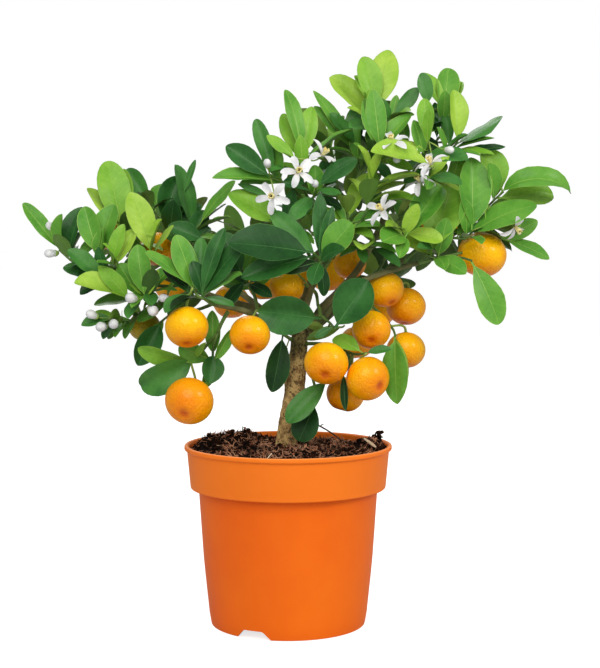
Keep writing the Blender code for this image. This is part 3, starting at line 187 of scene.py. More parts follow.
# Masses: the bough, how far along it the stem starts, its shoots, fruit and blossom
MASSES = (
    Mass(
        "left_tip", "bough_left", 1.0,
        (
            Shoot(
                (-162, -12, 270), (-0.3, -0.4, 0.85), 2, 32, 65, 200,
                ((-27, -4, 32, 12, 0.78), (2, -6, 26), (15, 8, 31)),
            ),
            Shoot((-135, -16, 268), (-0.2, -0.5, 0.85), 1, 33, 60, 20, ((-10, 4, 33), (10, 6, 35))),
            Shoot((-129, -24, 248), (-0.5, -0.5, 0.7), 2, 33, 65, 20, ((-26, -2, 22), (-30, 6, 10))),
        ),
        (Fruit((-128, 12, 280), 11.5),),
    ),
    Mass(
        "left_mid", "bough_left", 0.85,
        (
            Shoot(
                (-112, -26, 235), (-0.4, -0.5, 0.8), 2, 32, 70, 60,
                ((-20, -2, 25), (-36, -4, 13), (-25, 6, -3, 12, 1.2)),
            ),
            Shoot(
                (-100, -30, 237), (0.0, -0.5, 0.85), 2, 32, 70, 60,
                ((-7, 4, 37), (9, -2, 20), (-10, -4, 9)),
            ),
            Shoot((-124, -22, 262), (0.1, -0.5, 0.85), 2, 30, 60, 130, ((8, 0, 27), (16, 4, 24))),
        ),
        (Fruit((-104, 4, 215), 11.5),),
    ),
    Mass(
        "left_top", "bough_left", 0.93,
        (
            Shoot(
                (-120, 0, 286), (-0.1, -0.3, 0.95), 3, 34, 60, 250,
                ((-12, 8, 48), (1, 14, 43), (-24, 6, 29)),
            ),
            Shoot((-96, -18, 267), (-0.1, -0.5, 0.85), 2, 36, 60, 0, ((-13, 4, 45),)),
        ),
        (Fruit((-95, 8, 271), 13.0),),
    ),
    Mass(
        "left_ridge", "bough_left", 0.68,
        (
            Shoot(
                (-63, 4, 289), (0.35, -0.4, 0.85), 2, 32, 60, 40,
                (
                    (25, 0, 31, 14, 0.6), (19, -6, 14, 10, 0.6), (23, -12, 5, 8, 0.6), (-20, 10, 43),
                    (-24, -6, -4),
                ),
            ),
            Shoot(
                (-92, 16, 290), (0.1, -0.8, 0.5), 1, 36, 60, 210,
                ((12, 2, 34, 14, 1.2), (21, -4, 28, 8, 0.9), (22, -8, 0)),
            ),
            Shoot((-101, 14, 302), (-0.3, -0.4, 0.85), 1, 32, 60, 210, ((-15, 6, 28),)),
        ),
    ),
    Mass(
        "left_low", "bough_left", 0.76,
        (
            Shoot(
                (-123, -22, 222), (-0.6, -0.5, 0.3), 1, 25, 70, 30,
                ((-23, 0, -3), (-8, 4, -15, 14, 1.3)),
            ),
            Shoot(
                (-111, -12, 221), (-0.6, -0.5, 0.0), 1, 25, 70, 30,
                ((-18, 0, -13, 14, 1.5), (3, -2, 13)),
            ),
            Shoot((-86, -16, 231), (-0.4, -0.6, 0.5), 1, 28, 70, 90, ((-21, -4, -11),)),
        ),
    ),
    Mass(
        "left_front", "bough_left_front", 1.0,
        (
            Shoot(
                (-65, -50, 245), (0.05, -0.5, 0.85), 1, 32, 70, 80,
                (
                    (-32, 0, 25, 14, 0.75), (-12, 4, 36), (8, 6, 34, 12, 0.6), (22, 4, 41, 14, 0.5),
                    (34, 0, 34, 12, 0.65), (34, -6, 8, 10, 1.15),
                ),
            ),
            Shoot((-68, -44, 240), (-0.3, -0.6, 0.6), 0, 32, 70, 80, ((-19, 6, 18), (-15, -8, -12))),
        ),
        (Fruit((-69, -53, 218), 15.0),),
    ),
    Mass(
        "left_hang", "bough_left_front", 0.82,
        (
            Shoot(
                (-52, -32, 190), (0.2, -1.0, -0.3), 0, 30, 50, 100,
                ((12, -2, 27, 10, 0.7), (-24, 0, 14, 12, 1.5), (0, 8, 38, 14, 0.7), (-2, -5, -13, 10, 1.4)),
            ),
            Shoot(
                (-68, -30, 192), (-0.5, -0.8, -0.3), 0, 30, 60, 0,
                ((-37, -6, 9, 10, 1.1), (-36, -4, -16, 24, 1.3)),
            ),
        ),
        (Fruit((-68, -44, 166), 17.0),),
    ),
    Mass(
        "left_under", "bough_left", 0.55,
        (Shoot((-91, -12, 219), (-0.4, -0.3, -0.8), 2, 30, 60, 90, ((-16, -2, -31),)),),
    ),
    Mass(
        "left_inner", "bough_left_front", 0.5,
        (
            Shoot(
                (-32, -36, 254), (-0.1, -0.8, 0.3), 2, 32, 80, 150,
                ((-14, 4, 28), (14, 2, 24), (-12, -4, -22), (22, -4, -15)),
            ),
        ),
        (Fruit((-26, -44, 212), 14.0),),
    ),
    Mass(
        "centre_left", "bough_middle", 0.82,
        (
            Shoot(
                (-12, -22, 321), (-0.3, -0.8, 0.5), 0, 34, 65, 90,
                (
                    (-31, 2, 23, 10, 0.75), (-10, 10, 42, 10, 0.62), (-41, -4, 1, 6, 0.6),
                    (-3, 4, 30, 10, 0.9), (-22, 6, -4, 10, 0.6),
                ),
            ),
            Shoot(
                (9, -14, 339), (0.0, -0.4, 0.9), 2, 34, 60, 10,
                ((-9, 8, 45, 12, 0.75), (9, 4, 33, 10, 0.9), (-14, 12, 28, 10, 0.7), (37, 0, 16, 12, 0.6)),
            ),
            Shoot(
                (21, -32, 315), (0.2, -0.6, 0.7), 2, 30, 70, 60,
                ((27, 0, 19), (16, -4, -7), (-28, -6, -1, 10, 0.5), (-19, -8, -25)),
            ),
        ),
        (),
        (Blossom((-10, -46, 307), (-0.2, -1.0, 0.1)), Blossom((7, -44, 324), (0.2, -1.0, 0.3))),
    ),
    Mass(
        "centre_front", "bough_front", 1.0,
        (
            Shoot(
                (18, -48, 269), (0.0, -0.9, 0.45), 1, 38, 80, 130,
                (
                    (-59, -4, 7, 8, 1.1), (-50, -8, -17, 8, 0.75), (-30, 8, 28, 10, 0.7),
                    (4, 14, 41, 10, 0.6), (13, 10, 32, 10, 0.6), (27, 2, 20, 10, 1.3),
                    (-2, -12, -22, 14, 1.2),
                ),
            ),
        ),
    ),
    Mass(
        "centre_right_front", "bough_front", 0.85,
        (
            Shoot((63, -30, 274), (0.1, -0.6, 0.75), 3, 32, 72, 40, ((-16, 4, 15), (15, -8, -15))),
            Shoot(
                (59, -34, 317), (0.05, -0.3, 0.95), 2, 34, 66, 220,
                ((-11, 0, 26), (8, -2, 22), (33, -4, 5), (27, 8, 0), (34, 2, -14)),
            ),
            Shoot((42, -22, 296), (-0.1, -0.5, 0.85), 4, 34, 66, 220),
        ),
    ),
    Mass(
        "centre_low", "bough_middle", 0.5,
        (
            Shoot((-3, -22, 287), (-0.3, -0.6, 0.75), 3, 34, 70, 200, ((-39, 2, 23), (7, 10, 26))),
            Shoot((6, 22, 300), (-0.4, 0.3, 0.85), 4, 36, 62, 110),
        ),
    ),
    Mass(
        "top", "bough_middle", 1.0,
        (
            Shoot(
                (64, 4, 373), (0.0, -0.6, 0.75), 3, 34, 58, 60,
                ((-10, 6, 36), (8, 10, 42), (-17, 4, 22), (-34, 12, 22)),
            ),
            Shoot(
                (49, 4, 346), (-0.3, -0.45, 0.85), 2, 34, 62, 0,
                ((-19, -4, 22, 12, 0.9), (-32, 4, 38, 12, 0.5), (-31, -6, 27, 8, 0.7), (2, 6, 32, 12, 0.8)),
            ),
            Shoot(
                (65, -22, 341), (0.1, -0.5, 0.8), 2, 34, 66, 200,
                ((-6, 6, 42, 12, 0.78), (-11, -2, 36), (23, 6, 24), (7, -8, -22)),
            ),
            Shoot(
                (76, -2, 367), (0.2, -0.7, 0.5), 1, 32, 58, 60,
                ((18, 2, 18, 4, 0.9), (2, 6, 14, 8, 1.0)),
            ),
        ),
    ),
    Mass(
        "top_right", "bough_right", 1.0,
        (
            Shoot(
                (113, 5, 370), (0.0, -0.7, 0.6), 2, 32, 56, 200,
                ((-17, 2, 27, 8, 0.8), (1, 8, 32), (12, 12, 22, 10, 0.9)),
            ),
            Shoot(
                (121, -8, 347), (0.3, -0.4, 0.85), 2, 32, 64, 300,
                (
                    (-4, 4, 37, 12, 0.85), (33, 2, 17, 3, 0.8), (25, -6, 2, 4, 0.7), (25, -8, -9, 8, 0.8),
                    (-16, -4, 10),
                ),
            ),
            Shoot(
                (99, -22, 346), (-0.1, -0.5, 0.8), 2, 32, 66, 60,
                ((-3, 8, 31), (-1, -4, 23, 8, 0.7), (-26, -2, -2, 10, 0.8), (27, -8, -13)),
            ),
        ),
        (),
        (Blossom((98, -50, 329), (0.1, -1.0, 0.3)),),
    ),
    Mass(
        "right_mid", "bough_right", 0.84,
        (
            Shoot((101, -34, 330), (0.2, -0.6, 0.7), 3, 32, 74, 120, ((-44, -6, 8), (-20, -4, -13))),
            Shoot((81, -38, 278), (0.2, -0.7, 0.6), 3, 34, 74, 200, ((27, 8, 37),)),
            Shoot((114, 2, 312), (0.4, -0.2, 0.85), 4, 36, 62, 45),
        ),
        (),
        (Blossom((65, -52, 298), (0.1, -1.0, 0.1)),),
    ),
    Mass(
        "right_up", "bough_right_low", 0.9,
        (
            Shoot((130, -20, 284), (0.15, -0.55, 0.8), 3, 36, 66, 100, ((-1, 10, 52), (45, -2, 18))),
            Shoot(
                (154, -4, 312), (0.2, -0.7, 0.65), 2, 36, 60, 260,
                ((-11, 6, 32, 10, 1.2), (47, 0, 1, 60, 0.72), (37, 10, -2)),
            ),
        ),
    ),
    Mass(
        "right_low", "bough_right_low", 1.0,
        (
            Shoot(
                (99, -24, 267), (0.1, -0.6, 0.75), 1, 38, 70, 20,
                ((20, 8, 53), (-36, -2, 11), (26, -6, -13, 10, 1.3)),
            ),
            Shoot((129, -28, 263), (0.4, -0.9, 0.1), 0, 34, 50, 0, ((20, -4, -44, 16, 1.0),)),
            Shoot((153, -6, 279), (0.6, -0.5, 0.4), 0, 34, 66, 200, ((34, 0, -15), (25, 2, 13))),
        ),
        (Fruit((139, -4, 267), 17.5),),
    ),
    Mass(
        "fruit_low", "trunk", 0.77,
        (Shoot((55, -38, 199), (0.2, -0.8, 0.5), 0, 30, 70, 200, ((17, -3, 3, 8, 0.9), (-22, 8, 10))),),
        (
            Fruit((27, -40, 192), 15.3),
            Fruit((56, -36, 181), 15.5),
            Fruit((41, -8, 167), 13.6),
        ),
    ),
    Mass(
        "fruit_right", "bough_right", 0.34,
        (
            Shoot(
                (76, -24, 210), (-0.3, -1.0, 0.1), 0, 36, 60, 120,
                ((1, -4, -48, 10, 0.85), (8, 5, -37, 14, 0.6)),
            ),
        ),
        (
            Fruit((59, -20, 214), 13.8),
            Fruit((70, -6, 242), 13.2),
            Fruit((86, 14, 229), 14.8),
            Fruit((85, 2, 198), 14.2),
        ),
    ),
    Mass(
        "fruit_inner", "bough_middle", 0.25,
        (
            Shoot(
                (33, -44, 216), (0.1, -0.9, 0.2), 0, 34, 70, 100,
                ((22, 0, 34, 12, 1.3), (-14, 4, -6, 8, 1.1)),
            ),
            Shoot((23, -38, 223), (-0.1, -1.0, 0.1), 0, 34, 70, 0, ((-43, -5, 7, 6, 1.2),)),
        ),
        (
            Fruit((-1, -22, 244), 12.6),
            Fruit((-17, 4, 245), 12.0),
            Fruit((45, 18, 260), 12.0),
        ),
    ),
    Mass(
        "trunk_shoot", "trunk", 0.6,
        (
            Shoot((30, -20, 179), (-0.4, -0.8, 0.2), 0, 36, 60, 20, ((-31, -6, -30, 12, 1.15),)),
            Shoot((20, -14, 160), (-0.2, -0.8, -0.1), 0, 36, 60, 100, ((-12, -2, -26, 10, 1.5),)),
        ),
    ),
    Mass(
        "trunk_leaf", "trunk", 0.8,
        (Shoot((-4, -10, 210), (0.3, -0.8, -0.3), 0, 34, 60, 100, ((-8, -3, -41, 16, 0.95),)),),
    ),
    Mass(
        "back_top", "bough_back", 1.0,
        (
            Shoot((32, 48, 346), (-0.1, 0.3, 1.0), 5, 40, 62, 0),
            Shoot((74, 52, 344), (0.1, 0.4, 0.95), 5, 40, 62, 90),
            Shoot((50, 82, 318), (0.0, 0.8, 0.6), 6, 41, 70, 45),
        ),
    ),
    Mass(
        "back_centre", "bough_back", 0.82,
        (
            Shoot((12, 92, 290), (-0.2, 0.9, 0.4), 5, 40, 70, 20),
            Shoot((48, 98, 272), (0.3, 0.9, 0.1), 5, 40, 70, 160),
        ),
        (Fruit((30, 84, 250), 14.0), Fruit((6, 66, 244), 13.5)),
    ),
    Mass(
        "back_left", "bough_back_left", 1.0,
        (
            Shoot((-84, 56, 288), (-0.2, 0.3, 0.95), 5, 38, 62, 0),
            Shoot((-108, 48, 274), (-0.7, 0.4, 0.6), 5, 38, 66, 70),
            Shoot((-86, 84, 272), (-0.4, 0.9, 0.35), 5, 40, 70, 130),
        ),
        (Fruit((-88, 64, 244), 14.5),),
    ),
    Mass(
        "back_left_low", "bough_back_left", 0.74,
        (
            Shoot((-40, 84, 262), (-0.2, 0.95, 0.3), 5, 40, 70, 40),
            Shoot((-22, 62, 284), (0.0, 0.5, 0.9), 5, 38, 66, 190),
        ),
        (Fruit((-44, 72, 230), 14.0),),
    ),
    Mass(
        "back_right", "bough_back_right", 1.0,
        (
            Shoot((118, 52, 316), (0.3, 0.35, 0.9), 5, 40, 62, 0),
            Shoot((144, 44, 290), (0.85, 0.3, 0.5), 5, 42, 66, 120),
            Shoot((108, 86, 280), (0.3, 0.9, 0.35), 5, 41, 70, 240),
        ),
        (Fruit((116, 64, 290), 15.0),),
    ),
    Mass(
        "back_right_low", "bough_back_right", 0.7,
        (
            Shoot((72, 84, 240), (0.2, 0.95, -0.1), 5, 40, 70, 80),
            Shoot((84, 54, 292), (0.1, 0.5, 0.9), 5, 38, 66, 10),
        ),
        (Fruit((70, 62, 226), 14.0), Fruit((52, 54, 200), 13.5)),
    ),
)


# Single leaves that the solids leave out, each on a fine twig, by the mass they grow on: shade, where the leaf
# starts, the way its upper side faces, and its tip from there with its arching and share of the usual width
SINGLE_LEAVES = {
    "left_mid": ((3.6, (-101, -26, 236), (0.0, 0.8, 0.5), (9, 0, 21, 14, 1.2)),),
    "left_ridge": (
        (3.6, (-76, 10, 310), (0.0, -0.8, 0.5), (10, 0, 25, 6, 0.45)),
        (5.2, (-59, -14, 278), (0.0, -0.9, 0.4), (-26, 0, 9, 10, 1.1)),
    ),
    "left_front": (
        (3.4, (-58, -32, 237), (0.0, 0.8, 0.5), (-26, 0, -12, 20, 0.9)),
        (4.6, (-67, -46, 244), (0.0, -0.8, 0.5), (-19, 2, 13, 10, 0.9)),
    ),
    "centre_left": (
        (4.2, (-14, -18, 308), (-0.2, -0.9, 0.4), (-21, 0, 9, 6, 0.45)),
        (1.8, (6, -27, 334), (-0.2, -0.7, 0.6), (-20, 0, 17, 8, 0.75)),
    ),
    "centre_right_front": ((2.4, (90, -34, 326), (0.0, -0.8, 0.5), (-22, -2, 6, 8, 0.8)),),
    "top": ((3.4, (86, -4, 345), (-0.1, -0.8, 0.5), (-7, 0, 20, 8, 0.9)),),
    "top_right": (
        (3.0, (99, -6, 373), (0.0, -0.8, 0.5), (-4, 2, 23, 8, 1.1)),
        (3.0, (116, 0, 343), (0.0, -0.8, 0.5), (-3, 2, 24, 8, 0.9)),
        (2.8, (124, -6, 341), (0.0, -0.8, 0.5), (31, 0, 1, 6, 0.5)),
        (3.4, (106, -4, 348), (0.0, -0.8, 0.5), (-1, 0, 28, 6, 0.6)),
    ),
    "fruit_low": ((3.6, (39, -23, 184), (-0.1, -1.0, 0.0), (1, -4, -27, 8, 0.5)),),
    "fruit_inner": (
        (0.4, (27, -14, 214), (-0.1, 0.9, 0.4), (-14, -2, 4, 10, 0.9)),
        (0.4, (40, -20, 217), (-0.1, 0.9, 0.4), (-26, 0, -11, 10, 0.75)),
    ),
}

# Each spray's shade, from 0, the palest young green, to 6, the darkest, partly the leaves' own tone and partly
# painted light and shade, how many more leaves it has than in the solids and, where it isn't 1, how wide its
# leaves are as a share of those of the solids
SPRAYS = {
    "left_tip": ((3.3, 2), (2.8, 3), (3.1, 3)),
    "left_mid": ((3.0, 3), (2.6, 3), (2.2, 2)),
    "left_top": ((2.6, 3), (1.0, 2)),
    "left_ridge": ((4.0, 3), (4.4, 4), (3.8, 3)),
    "left_low": ((1.6, 3, 1.15), (1.6, 2, 1.15), (2.0, 3)),
    "left_front": ((3.3, 2), (3.7, 2)),
    "left_hang": ((2.6, 1), (1.7, 1, 0.74)),
    "left_under": ((1.6, 2),),
    "left_inner": ((4.2, 3),),
    "centre_left": ((3.5, 3), (2.2, 3), (3.5, 3)),
    "centre_front": ((4.2, 2),),
    "centre_right_front": ((1.5, 3), (1.3, 3), (2.2, 4)),
    "centre_low": ((3.4, 4), (3.8, 4)),
    "top": ((1.9, 3), (2.9, 4), (2.6, 3), (2.8, 2)),
    "top_right": ((2.8, 3), (2.9, 3), (2.6, 4)),
    "right_mid": ((1.3, 3), (0.8, 3), (2.2, 4)),
    "right_up": ((2.6, 3), (2.2, 2)),
    "right_low": ((1.9, 2), (0.9, 0), (2.1, 1)),
    "fruit_low": ((2.8, 0),),
    "fruit_right": ((-1.4, 0),),
    "fruit_inner": ((2.6, 0), (4.2, 0)),
    "trunk_shoot": ((2.6, 0, 0.68), (3.6, 0)),
    "trunk_leaf": ((4.8, 0, 0.86),),
    "back_top": ((2.2, 4), (2.4, 4), (3.2, 4)),
    "back_centre": ((3.4, 4), (3.8, 4)),
    "back_left": ((2.4, 4), (2.8, 4), (3.4, 4)),
    "back_left_low": ((3.8, 4), (3.2, 4)),
    "back_right": ((2.2, 4), (3.0, 4), (3.4, 4)),
    "back_right_low": ((3.6, 4), (3.4, 4)),
}
TONE_RISE = 1.2  # how much paler an upright leaf is than a level one, partly a young leaf's own tone and partly painted light
TONE_SPREAD = 0.9

# Greens from the palest to the darkest, partly leaf tones and partly lit and shaded copies of one green, painted light
# and shade: the blade's two tones and its underside
GREENS = (
    ("lime", (0.24, 0.46, 0.032), (0.38, 0.58, 0.075), (0.27, 0.42, 0.08)),
    ("spring", (0.145, 0.37, 0.026), (0.235, 0.48, 0.048), (0.2, 0.35, 0.06)),
    ("fresh", (0.075, 0.265, 0.026), (0.135, 0.36, 0.042), (0.13, 0.27, 0.05)),
    ("mid", (0.038, 0.165, 0.028), (0.07, 0.24, 0.04), (0.09, 0.2, 0.04)),
    ("deep", (0.016, 0.088, 0.016), (0.034, 0.15, 0.028), (0.06, 0.14, 0.03)),
    ("bottle", (0.008, 0.048, 0.01), (0.017, 0.085, 0.017), (0.04, 0.1, 0.024)),
    ("dark", (0.006, 0.022, 0.004), (0.013, 0.042, 0.007), (0.026, 0.066, 0.018)),
)
PALE_GREENS = ("lime", "spring", "fresh")  # their veins are paler too

# Way each fruit's dimple faces, by its mass and number; the others hang straight
DIMPLE_WAYS = {
    ("left_front", 0): (0.05, -0.5, -0.86),
    ("left_inner", 0): (-0.07, -0.72, -0.69),
    ("left_hang", 0): (-0.2, -0.83, -0.52),
    ("fruit_low", 0): (-0.1, -0.84, -0.53),
    ("fruit_low", 1): (0.6, -0.72, -0.3),
    ("fruit_right", 0): (-0.03, -0.83, -0.55),
    ("fruit_right", 1): (0.35, -0.5, -0.8),
}

# Way some of the solids' blossom faces, where it is seen from the side
BLOSSOM_WAYS = {("top_right", 0): (-0.35, -0.4, 0.85), ("right_mid", 0): (-0.6, -0.7, 0.45)}

# Blossom and buds that the solids leave out
MORE_BLOSSOM = {
    "centre_left": (Blossom((24, -30, 336), (0.5, -0.4, 0.6)),),
    "top": (Blossom((73, -34, 345), (-0.3, -0.6, 0.7)),),
    "top_right": (Blossom((92, -34, 318), (-0.5, -0.6, 0.6)),),
    "right_up": (Blossom((159, -24, 287), (0.6, -0.5, -0.6)),),
}
BUDS = {  # place and size
    "left_tip": ((-169, -12, 286, 1.0), (-168, -12, 268, 1.0)),
    "left_mid": ((-108, -38, 237, 1.15), (-94, -38, 229, 1.2), (-127, -4, 272, 1.0)),
    "left_low": ((-137, -28, 225, 1.3), (-130, -30, 217, 1.2), (-122, -30, 219, 1.2)),
    "left_front": ((-85, -38, 237, 1.0),),
    "trunk_leaf": ((-3.6, -7, 197.3, 1.0),),
    "centre_left": ((19, -40, 316, 1.0), (-14, -36, 330, 1.0)),
    "top": ((75, -38, 333, 1.0),),
    "top_right": ((94, -38, 320, 1.0), (112, -30, 340, 1.0)),
}

# Light: name, azimuth, elevation, distance and size in metres, power and colour
FLOOR_REACH = 12.0
FLOOR_SEEN = 0.75  # light the floor adds for the camera alone, so that it meets the white backdrop
WORLD_LIGHT = 0.42
LIGHT_AIM = (0.0, 0.0, 224.0)
LIGHTS = (
    ("key", -8.0, 34.0, 1.9, 1.5, 23.0, (1.0, 0.96, 0.88)),
    ("side", 56.0, 29.0, 1.6, 0.5, 8.5, (1.0, 0.96, 0.88)),
    ("back", 200.0, 42.0, 1.8, 0.9, 11.0, (1.0, 1.0, 1.0)),
)
UNRIPE = {("left_mid", 0)}


# Growth rules, as in the source


def mm(point):
    return Vector(point) * MM


def smooth(points, steps):
    """Points of the Catmull-Rom curve through points, steps to a stretch."""
    ends = [points[0] * 2 - points[1], *points, points[-1] * 2 - points[-2]]
    made = []
    for before, here, there, after in zip(ends, ends[1:], ends[2:], ends[3:]):
        for step in range(steps):
            t = step / steps
            made.append(
                0.5
                * (
                    2 * here
                    + (there - before) * t
                    + (2 * before - 5 * here + 4 * there - after) * t**2
                    + (3 * here - before - 3 * there + after) * t**3
                )
            )
    return [*made, points[-1]]


def tapered(points, first, last):
    """A tube whose radius falls evenly from first to last millimetres."""
    count = len(points) - 1
    return Tube(points, [(first + (last - first) * i / count) * MM for i in range(count + 1)])


def length_of(tube):
    return sum((b - a).length for a, b in zip(tube.points, tube.points[1:]))


def place_on(tube, share):
    """The point, direction and radius at a share of the tube's length."""
    lengths = [(b - a).length for a, b in zip(tube.points, tube.points[1:])]
    left = share * sum(lengths)
    for i, length in enumerate(lengths):
        if left <= length or i == len(lengths) - 1:
            t = min(1.0, left / length)
            radius = tube.radii[i] + (tube.radii[i + 1] - tube.radii[i]) * t
            along = (tube.points[i + 1] - tube.points[i]).normalized()
            return tube.points[i].lerp(tube.points[i + 1], t), along, radius
        left -= length
    raise ValueError("share lies between 0 and 1")


def start_on(carrier, share, towards, radius):
    """Where a limb that meets its carrier GAP clear begins, and its first direction."""
    point, along, carrier_radius = place_on(carrier, share)
    if share == 1.0:
        return point + along * GAP * MM, along
    aim = (towards - point).normalized()
    sideways = aim - along * aim.dot(along)
    leaving = (sideways.normalized() + along * LEAN).normalized()
    cosine = abs(leaving.dot(along))
    sine = math.sqrt(1 - cosine**2)
    reach = (carrier_radius + GAP * MM + radius * cosine) / sine
    return point + leaving * reach, leaving


def arch(start, leaving, end, arriving, steps):
    """A path that leaves start one way and arrives at end another."""
    pull = (end - start).length * PULL
    first, second = start + leaving * pull, end - arriving * pull
    path = []
    for step in range(steps + 1):
        t = step / steps
        rest = 1 - t
        path.append(
            start * rest**3 + first * (3 * rest**2 * t) + second * (3 * rest * t**2) + end * t**3
        )
    return path


def trunk_tube():
    return Tube([mm(row[:3]) for row in TRUNK], [row[3] * MM for row in TRUNK])


def bough_tube(bough, trunk):
    route = [mm(p) for p in bough.route]
    start, leaving = start_on(trunk, bough.at, route[0], bough.radii[0] * MM)
    first = start + leaving * (bough.radii[0] * MM)
    return tapered([start, *smooth([first, *route], BOUGH_STEPS)], *bough.radii)


def grow_twigs(mass, carrier, draw):
    """The mass's stem, then one twig to each shoot's foot. Each twig starts at the stem's fork."""
    feet = [mm(shoot.foot) for shoot in mass.shoots]
    middle = sum(feet, Vector()) / len(feet)
    start, leaving = start_on(carrier, mass.at, middle, STEM_RADIUS * MM)
    straight = start + leaving * STEM_LEAD * MM
    if len(feet) == 1:
        path = arch(straight, leaving, feet[0], Vector(mass.shoots[0].aim).normalized(), TWIG_STEPS)
        return [tapered([start, *path], STEM_RADIUS, TIP_RADIUS)]
    fork = start.lerp(middle, FORK_SHARE)
    onward = (middle - start).normalized()
    path = arch(straight, leaving, fork, onward, TWIG_STEPS - 1)
    twigs = [tapered([start, *path], STEM_RADIUS, TWIG_RADIUS)]
    for shoot, foot in zip(mass.shoots, feet):
        root, arriving = fork - onward * TWIG_ROOT * MM, Vector(shoot.aim).normalized()
        path = arch(root, onward, foot, arriving, TWIG_STEPS)
        reach = (foot - fork).length * WANDER
        for point in path[1:-1]:
            point += Vector([draw.uniform(-reach, reach) for _ in range(3)])
        twigs.append(tapered(path, TWIG_RADIUS, TIP_RADIUS))
    return twigs


def grow_stalk(twigs, end, arriving):
    """A thin stalk from the nearest twig to end."""
    points = [p for twig in twigs for p in twig.points[1:]]
    root = min(points, key=lambda p: (p - end - mm((0, 0, STALK_RISE))).length)
    leaving = (end - root + mm((0, 0, STALK_SAG))).normalized()
    return tapered(arch(root, leaving, end, arriving, TWIG_STEPS - 1), STALK_RADIUS, STALK_RADIUS)


def leaf_point(leaf, t, across, lift):
    """The point t of the way from the twig to the tip, across and lift metres from the blade's middle."""
    angle = leaf.bend * t
    reach, drop = math.sin(angle) / leaf.bend, (1 - math.cos(angle)) / leaf.bend
    side = leaf.along.cross(leaf.face)
    up = leaf.face * math.cos(angle) + leaf.along * math.sin(angle)
    return leaf.base + (leaf.along * reach - leaf.face * drop) * leaf.length + side * across + up * lift


def leaf_on(shoot_end, aim, turn, opening, length, draw):
    """A leaf that leaves the shoot at opening degrees, its upper side towards the shoot's tip."""
    across = aim.orthogonal().normalized()
    other = aim.cross(across)
    outward = across * math.cos(math.radians(turn)) + other * math.sin(math.radians(turn))
    angle = math.radians(opening)
    along = (aim * math.cos(angle) + outward * math.sin(angle)).normalized()
    face = (aim * math.sin(angle) - outward * math.cos(angle)).normalized()
    roll = math.radians(draw.uniform(-ROLL, ROLL))
    side = along.cross(face)
    face = (face * math.cos(roll) + side * math.sin(roll)).normalized()
    width = length * LEAF_ASPECT * draw.uniform(*FULLNESS)
    return Leaf(shoot_end, along, face, length * MM, width * MM, math.radians(draw.uniform(*BEND)))


def leaf_to(foot, tip, aim, arching, fullness, draw):
    """A leaf from foot that arches over to tip, its upper side towards aim."""
    chord = (tip - foot).normalized()
    side = chord.cross(aim).normalized()
    face = side.cross(chord)
    roll = math.radians(draw.uniform(-SET_ROLL, SET_ROLL))
    face = (face * math.cos(roll) + side * math.sin(roll)).normalized()
    half = math.radians(arching * draw.uniform(*ARCH_RANGE))
    length = (tip - foot).length * half / math.sin(half)
    width = length * LEAF_ASPECT * fullness * draw.uniform(*FULLNESS)
    along = chord * math.cos(half) + face * math.sin(half)
    face = face * math.cos(half) - chord * math.sin(half)
    return Leaf(foot, along, face, length, width, 2 * half)


def ring_faces(rings, sides):
    """Triangles between a first point, rings of so many sides, and a last point."""
    last = rings * sides + 1
    faces = []
    for i in range(sides):
        j = (i + 1) % sides
        faces.append((0, 1 + j, 1 + i))
        for ring in range(rings - 1):
            a, b = 1 + ring * sides + i, 1 + ring * sides + j
            faces += [(a, b, b + sides), (a, b + sides, a + sides)]
        faces.append((last, last - sides + i, last - sides + j))
    return faces


def leaf_shell(leaf, first, clear):
    """A closed shell clear metres round the blade from first to its tip."""
    points = [leaf_point(leaf, first, 0, 0)]
    for t, share in zip(LEAF_RINGS, LEAF_SHAPE):
        half = leaf.width / 2 * share + clear
        corners = ((half, 0), (0, clear), (-half, 0), (0, -LEAF_THICKNESS * MM - clear))
        points += [leaf_point(leaf, t, across, lift) for across, lift in corners]
    points.append(leaf_point(leaf, 1 + clear / leaf.length, 0, 0))
    return BVHTree.FromPolygons(points, ring_faces(2, 4))


def tube_shell(tube):
    """A four-sided closed shell CLEAR round a tube."""
    points = [tube.points[0]]
    for i, (point, radius) in enumerate(zip(tube.points, tube.radii)):
        along = tube.points[min(i + 1, len(tube.points) - 1)] - tube.points[max(i - 1, 0)]
        across = along.orthogonal().normalized() * (radius + CLEAR * MM)
        other = along.normalized().cross(across)
        points += [point + across, point + other, point - across, point - other]
    points.append(tube.points[-1])
    return BVHTree.FromPolygons(points, ring_faces(len(tube.points), 4))


class Crown:
    """What has grown so far. A new leaf is taken only where it stays clear of the other masses and the
    limbs, and where its blade crosses no blade, stem or fruit of its own mass."""

    def __init__(self):
        self.clear = CLEAR
        self.tubes = []  # owner, middle, reach, shell
        self.fruit = []  # owner, centre, radius
        self.leaves = []  # owner, middle, reach, whole shell, blade

    def add_tube(self, owner, tube):
        middle = (tube.points[0] + tube.points[-1]) / 2
        reach = max((p - middle).length for p in tube.points) + max(tube.radii) + CLEAR * MM
        self.tubes.append((owner, middle, reach, tube_shell(tube)))

    def takes(self, mass, leaf):
        """Adds the leaf and says True, unless its place is taken."""
        middle, reach = leaf_point(leaf, 0.5, 0, 0), leaf.length * REACH
        whole, blade = leaf_shell(leaf, 0.0, self.clear * MM), leaf_shell(leaf, BLADE_FROM, 0.0)
        for owner, centre, size, shell in self.tubes:
            if (centre - middle).length < size + reach and owner != mass and whole.overlap(shell):
                return False
        for owner, centre, radius in self.fruit:
            if (centre - middle).length < radius + reach:
                shell, clear = (blade, 0) if owner == mass else (whole, self.clear * MM)
                if shell.find_nearest(centre)[3] < radius + clear:
                    return False
        for owner, centre, size, other_whole, other_blade in self.leaves:
            if (centre - middle).length < size + reach:
                if blade.overlap(other_blade) if owner == mass else whole.overlap(other_whole):
                    return False
        self.leaves.append((mass, middle, reach, whole, blade))
        return True


def leaf_base(twig, number):
    """Where the leaf of that number, counted back from the twig's end, grows out of it."""
    back = (TIP_LEAF + number * INTERNODE) * MM
    return place_on(twig, 1 - min(0.8, back / length_of(twig)))[0]


